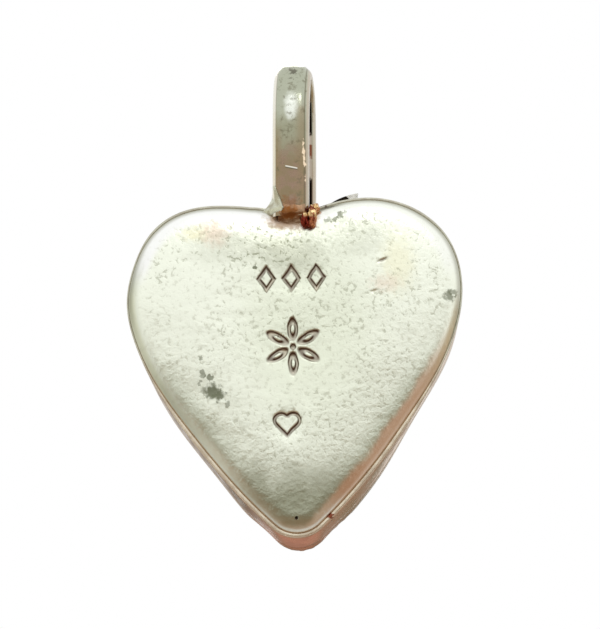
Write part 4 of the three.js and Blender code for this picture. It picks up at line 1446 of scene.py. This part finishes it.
def buildScroll(name, side):
    level = petalFoot + scroll["rise"]
    near = tulip["width"] / 2 + scroll["tulipGap"]
    room = [p for p in drawIn(heartEdge(1), rope["wire"] + scroll["gap"]) if p.x > near]
    reach = min(((p.x - near) ** 2 + (p.z - level) ** 2) / (2 * (p.x - near)) for p in room)
    outer = reach - scroll["wire"] / 2
    middle = Vector((side * (near + reach), ornamentBase - scroll["wire"] / 2, level))
    path = []
    for i in range(121):
        radius = outer + (scroll["eye"] - outer) * i / 120
        turn = (outer - radius) / scroll["pitch"] * 2 * math.pi + math.pi / 2
        path.append(middle + Vector((side * radius * math.cos(turn), 0, radius * math.sin(turn))))
    full = scroll["wire"] / 2
    wirePiece("scroll_" + name, name + "_scroll", path,
              lambda share: full * (0.35 + 0.65 * smoothStep(0, 0.18, share)) * (1 - 0.15 * share),
              (middle, scroll["ball"]))


buildScroll("right", 1)
buildScroll("left", -1)

boss = {
    "radius": 1.15,
    "rise": 0.8,
    "inset": 3.75,
    "drop": 4.4,
    "collar": 0.10,  # height of the flat collar under the beads
    "chamfer": 0.05,
    "collarInner": 0.90,
    "dome": 0.84,
    "domeFoot": 0.12,
    "domeSteps": 14,
    "beads": 18,
    "bead": 0.155,
    "beadLevel": 0.18,
}


def buildBoss(name, side):
    bm = bmesh.new()
    layer = bm.verts.layers.float.new("low")
    radius, collar, foot = boss["radius"], boss["collar"], boss["domeFoot"]
    profile = [(radius, 0), (radius, collar - boss["chamfer"]), (radius - boss["chamfer"], collar),
               (boss["collarInner"], collar)]
    for i in range(boss["domeSteps"]):
        turn = math.pi / 2 * i / boss["domeSteps"]
        profile.append((boss["dome"] * math.cos(turn), foot + (boss["rise"] - foot) * math.sin(turn)))
    profile.append((0, boss["rise"]))
    verts = [bm.verts.new((x, -y, 0)) for x, y in profile]
    edges = [bm.edges.new(pair) for pair in zip(verts, verts[1:])]
    bmesh.ops.spin(bm, geom=verts + edges, cent=(0, 0, 0), axis=(0, 1, 0), angle=2 * math.pi, steps=56,
                   use_merge=True)
    bmesh.ops.remove_doubles(bm, verts=bm.verts, dist=1e-4)
    bmesh.ops.holes_fill(bm, edges=[e for e in bm.edges if e.is_boundary], sides=0)
    ringRadius = radius - boss["bead"]
    for i in range(boss["beads"]):
        turn = 2 * math.pi * i / boss["beads"]
        place = Vector((ringRadius * math.cos(turn), -boss["beadLevel"], ringRadius * math.sin(turn)))
        bmesh.ops.create_icosphere(bm, subdivisions=3, radius=boss["bead"],
                                   matrix=Matrix.Translation(place))
    for vert in bm.verts:
        away = math.hypot(vert.co.x, vert.co.z)
        vert[layer] = smoothStep(0.30, 0.05, -vert.co.y) if away > 0.7 else 0.0
    bm.transform(Matrix.Translation((side * (heart["width"] / 2 - boss["inset"]), ornamentBase,
                                     -boss["drop"])))
    return finishPiece("boss_" + name, bm, name + "_boss", brightSilver, 35)


buildBoss("right", 1)
buildBoss("left", -1)

granule = {"radius": 0.42, "spacing": 1.0}


def buildGranule(name, node, x, z):
    bm = bmesh.new()
    layer = bm.verts.layers.float.new("low")
    radius = granule["radius"]
    bmesh.ops.create_icosphere(bm, subdivisions=4, radius=radius)
    for vert in bm.verts:
        vert.co *= 1 + 0.01 * noise.noise(vert.co * 4 + Vector((x, z, 0)))
        if vert.co.y > radius * 0.55:  # the solder runs up round the foot
            spread = 1 + 0.5 * smoothStep(0.55, 1.0, vert.co.y / radius)
            vert.co.x, vert.co.z = vert.co.x * spread, vert.co.z * spread
        vert[layer] = smoothStep(0.1, 0.35, vert.co.y)
    bm.transform(Matrix.Translation((x, ornamentBase - radius, z)))
    return finishPiece(name, bm, node, brightSilver, 80)


for trio, level, step in (("crown", petalTop + granule["spacing"], -granule["spacing"] / 2),
                          ("drop", stemFoot - granule["spacing"], granule["spacing"] / 2)):
    for place, x in (("middle", 0.0), ("right", granule["spacing"]), ("left", -granule["spacing"])):
        buildGranule("ball_" + trio + "_" + place, trio + "_granule_" + place, x,
                     level + (step if x else 0.0))
print("stem, scrolls, bosses and granules made")


# Floor, soft light and camera
view = {
    "yaw": 2.8,  # the camera stands this far to the side of the back's middle, degrees
    "elevation": -15,
    "roll": 0.9,
    "distance": 1200,
    "pixelsPerMm": 17.84,
    "point": Vector((0, 1.1, -9.5)),  # this bench point is seen at the pixel below
    "pixel": (295.0, 363.4),
    "frame": (600, 629),
    "sensor": 36,
}
yaw, elevation, roll = (math.radians(view[key]) for key in ("yaw", "elevation", "roll"))
toCamera = Vector((-math.sin(yaw) * math.cos(elevation), math.cos(yaw) * math.cos(elevation),
                   math.sin(elevation)))
right = (-toCamera).cross(Vector((0, 0, 1))).normalized()
up = right.cross(-toCamera)
rolledUp = up * math.cos(roll) + right * math.sin(roll)
rolledRight = right * math.cos(roll) - up * math.sin(roll)
wide, tall = view["frame"]
offRight = (wide / 2 - view["pixel"][0]) / view["pixelsPerMm"]
offUp = (view["pixel"][1] - tall / 2) / view["pixelsPerMm"]
target = bench @ (view["point"] + rolledRight * offRight + rolledUp * offUp)
cameraData = bpy.data.cameras.new("camera")
cameraData.sensor_width = view["sensor"]
cameraData.lens = view["pixelsPerMm"] * view["distance"] * view["sensor"] / max(wide, tall)
cameraData.clip_start, cameraData.clip_end = 0.02, 20
camera = bpy.data.objects.new("camera", cameraData)
bpy.context.scene.collection.objects.link(camera)
turn = Matrix((rolledRight, rolledUp, toCamera)).transposed().to_4x4()
camera.matrix_world = Matrix.Translation(target + toCamera * view["distance"] * mm) @ turn
bpy.context.scene.camera = camera


def stagePlane(name, size, place, facing, colour, strength=None):
    bm = bmesh.new()
    bmesh.ops.create_grid(bm, x_segments=1, y_segments=1, size=0.5)
    bmesh.ops.scale(bm, vec=(size[0] * mm, size[1] * mm, 1), verts=bm.verts)
    turn = Vector(facing).to_track_quat("Z", "Y").to_matrix().to_4x4()
    bm.transform(Matrix.Translation(Vector(place) * mm) @ turn)
    mesh = bpy.data.meshes.new(name)
    bm.to_mesh(mesh)
    bm.free()
    material = bpy.data.materials.new(name)
    material.use_nodes = True
    shader = material.node_tree.nodes["Principled BSDF"]
    shader.inputs["Base Color"].default_value = colour if strength is None else (0, 0, 0, 1)
    shader.inputs["Roughness"].default_value = 0.9
    if strength is not None:
        shader.inputs["Emission Color"].default_value = colour
        shader.inputs["Emission Strength"].default_value = strength
    mesh.materials.append(material)
    plane = bpy.data.objects.new(name, mesh)
    bpy.context.scene.collection.objects.link(plane)
    return plane


stagePlane("floor", (6000, 6000), (0, 0, -400), (0, 0, 1), (0.9, 0.9, 0.9, 1))
# Cards that the metal reflects and the camera looks past
cards = {
    "oliveCard": ((520, 130), (0, 340, -62), (0, -1, 0), tone(122, 122, 100)),
    "warmCard": ((460, 300), (0, 200, -110), (0, -0.35, 1), tone(172, 146, 124)),
    "leftCard": ((330, 190), (250, 20, -6), (-1, 0, 0), tone(246, 243, 230)),
    "rightCard": ((330, 130), (-250, 20, -50), (1, 0, 0), tone(182, 162, 136)),
    "frontOliveCard": ((520, 120), (0, -340, -60), (0, 1, 0), tone(120, 118, 100)),
    "frontWarmCard": ((460, 300), (0, -200, -110), (0, 0.35, 1), tone(172, 140, 120)),
}
for name, (size, place, facing, colour) in cards.items():
    card = stagePlane(name, size, place, facing, colour, 1.0)
    card.visible_camera = False
    card.visible_shadow = False
    card.visible_diffuse = False


def softLight(name, place, size, power):
    data = bpy.data.lights.new(name, "AREA")
    data.shape = "RECTANGLE"
    data.size, data.size_y = size[0] * mm, size[1] * mm
    data.energy = power
    lamp = bpy.data.objects.new(name, data)
    lamp.location = Vector(place) * mm
    lamp.rotation_mode = "QUATERNION"
    lamp.rotation_quaternion = (Vector((0, 0, -8 * mm)) - lamp.location).to_track_quat("-Z", "Y")
    bpy.context.scene.collection.objects.link(lamp)


lamps = {  # place, size and watts
    "backSoftbox": ((-24, 318, 262), (95, 62), 0.05),
    "frontSoftbox": ((70, -320, 250), (190, 150), 0.2),
}
for name, (place, size, power) in lamps.items():
    softLight(name, place, size, power)

world = bpy.data.worlds.new("studio")
bpy.context.scene.world = world
world.use_nodes = True
tree = world.node_tree
path = addNode(tree, "ShaderNodeLightPath").outputs
seen = calc(tree, "MAXIMUM", path["Is Camera Ray"],
            calc(tree, "MAXIMUM", path["Is Glossy Ray"], path["Is Transmission Ray"]))
white = addNode(tree, "ShaderNodeBackground", {"Color": (1, 1, 1, 1), "Strength": 1.0})
ambient = addNode(tree, "ShaderNodeBackground", {"Color": (1, 1, 1, 1), "Strength": 0.75})
mixed = addNode(tree, "ShaderNodeMixShader", {0: seen, 1: ambient.outputs[0], 2: white.outputs[0]})
tree.links.new(mixed.outputs[0], tree.nodes["World Output"].inputs["Surface"])

bpy.context.scene.view_settings.view_transform = "Standard"
print("scene ready")
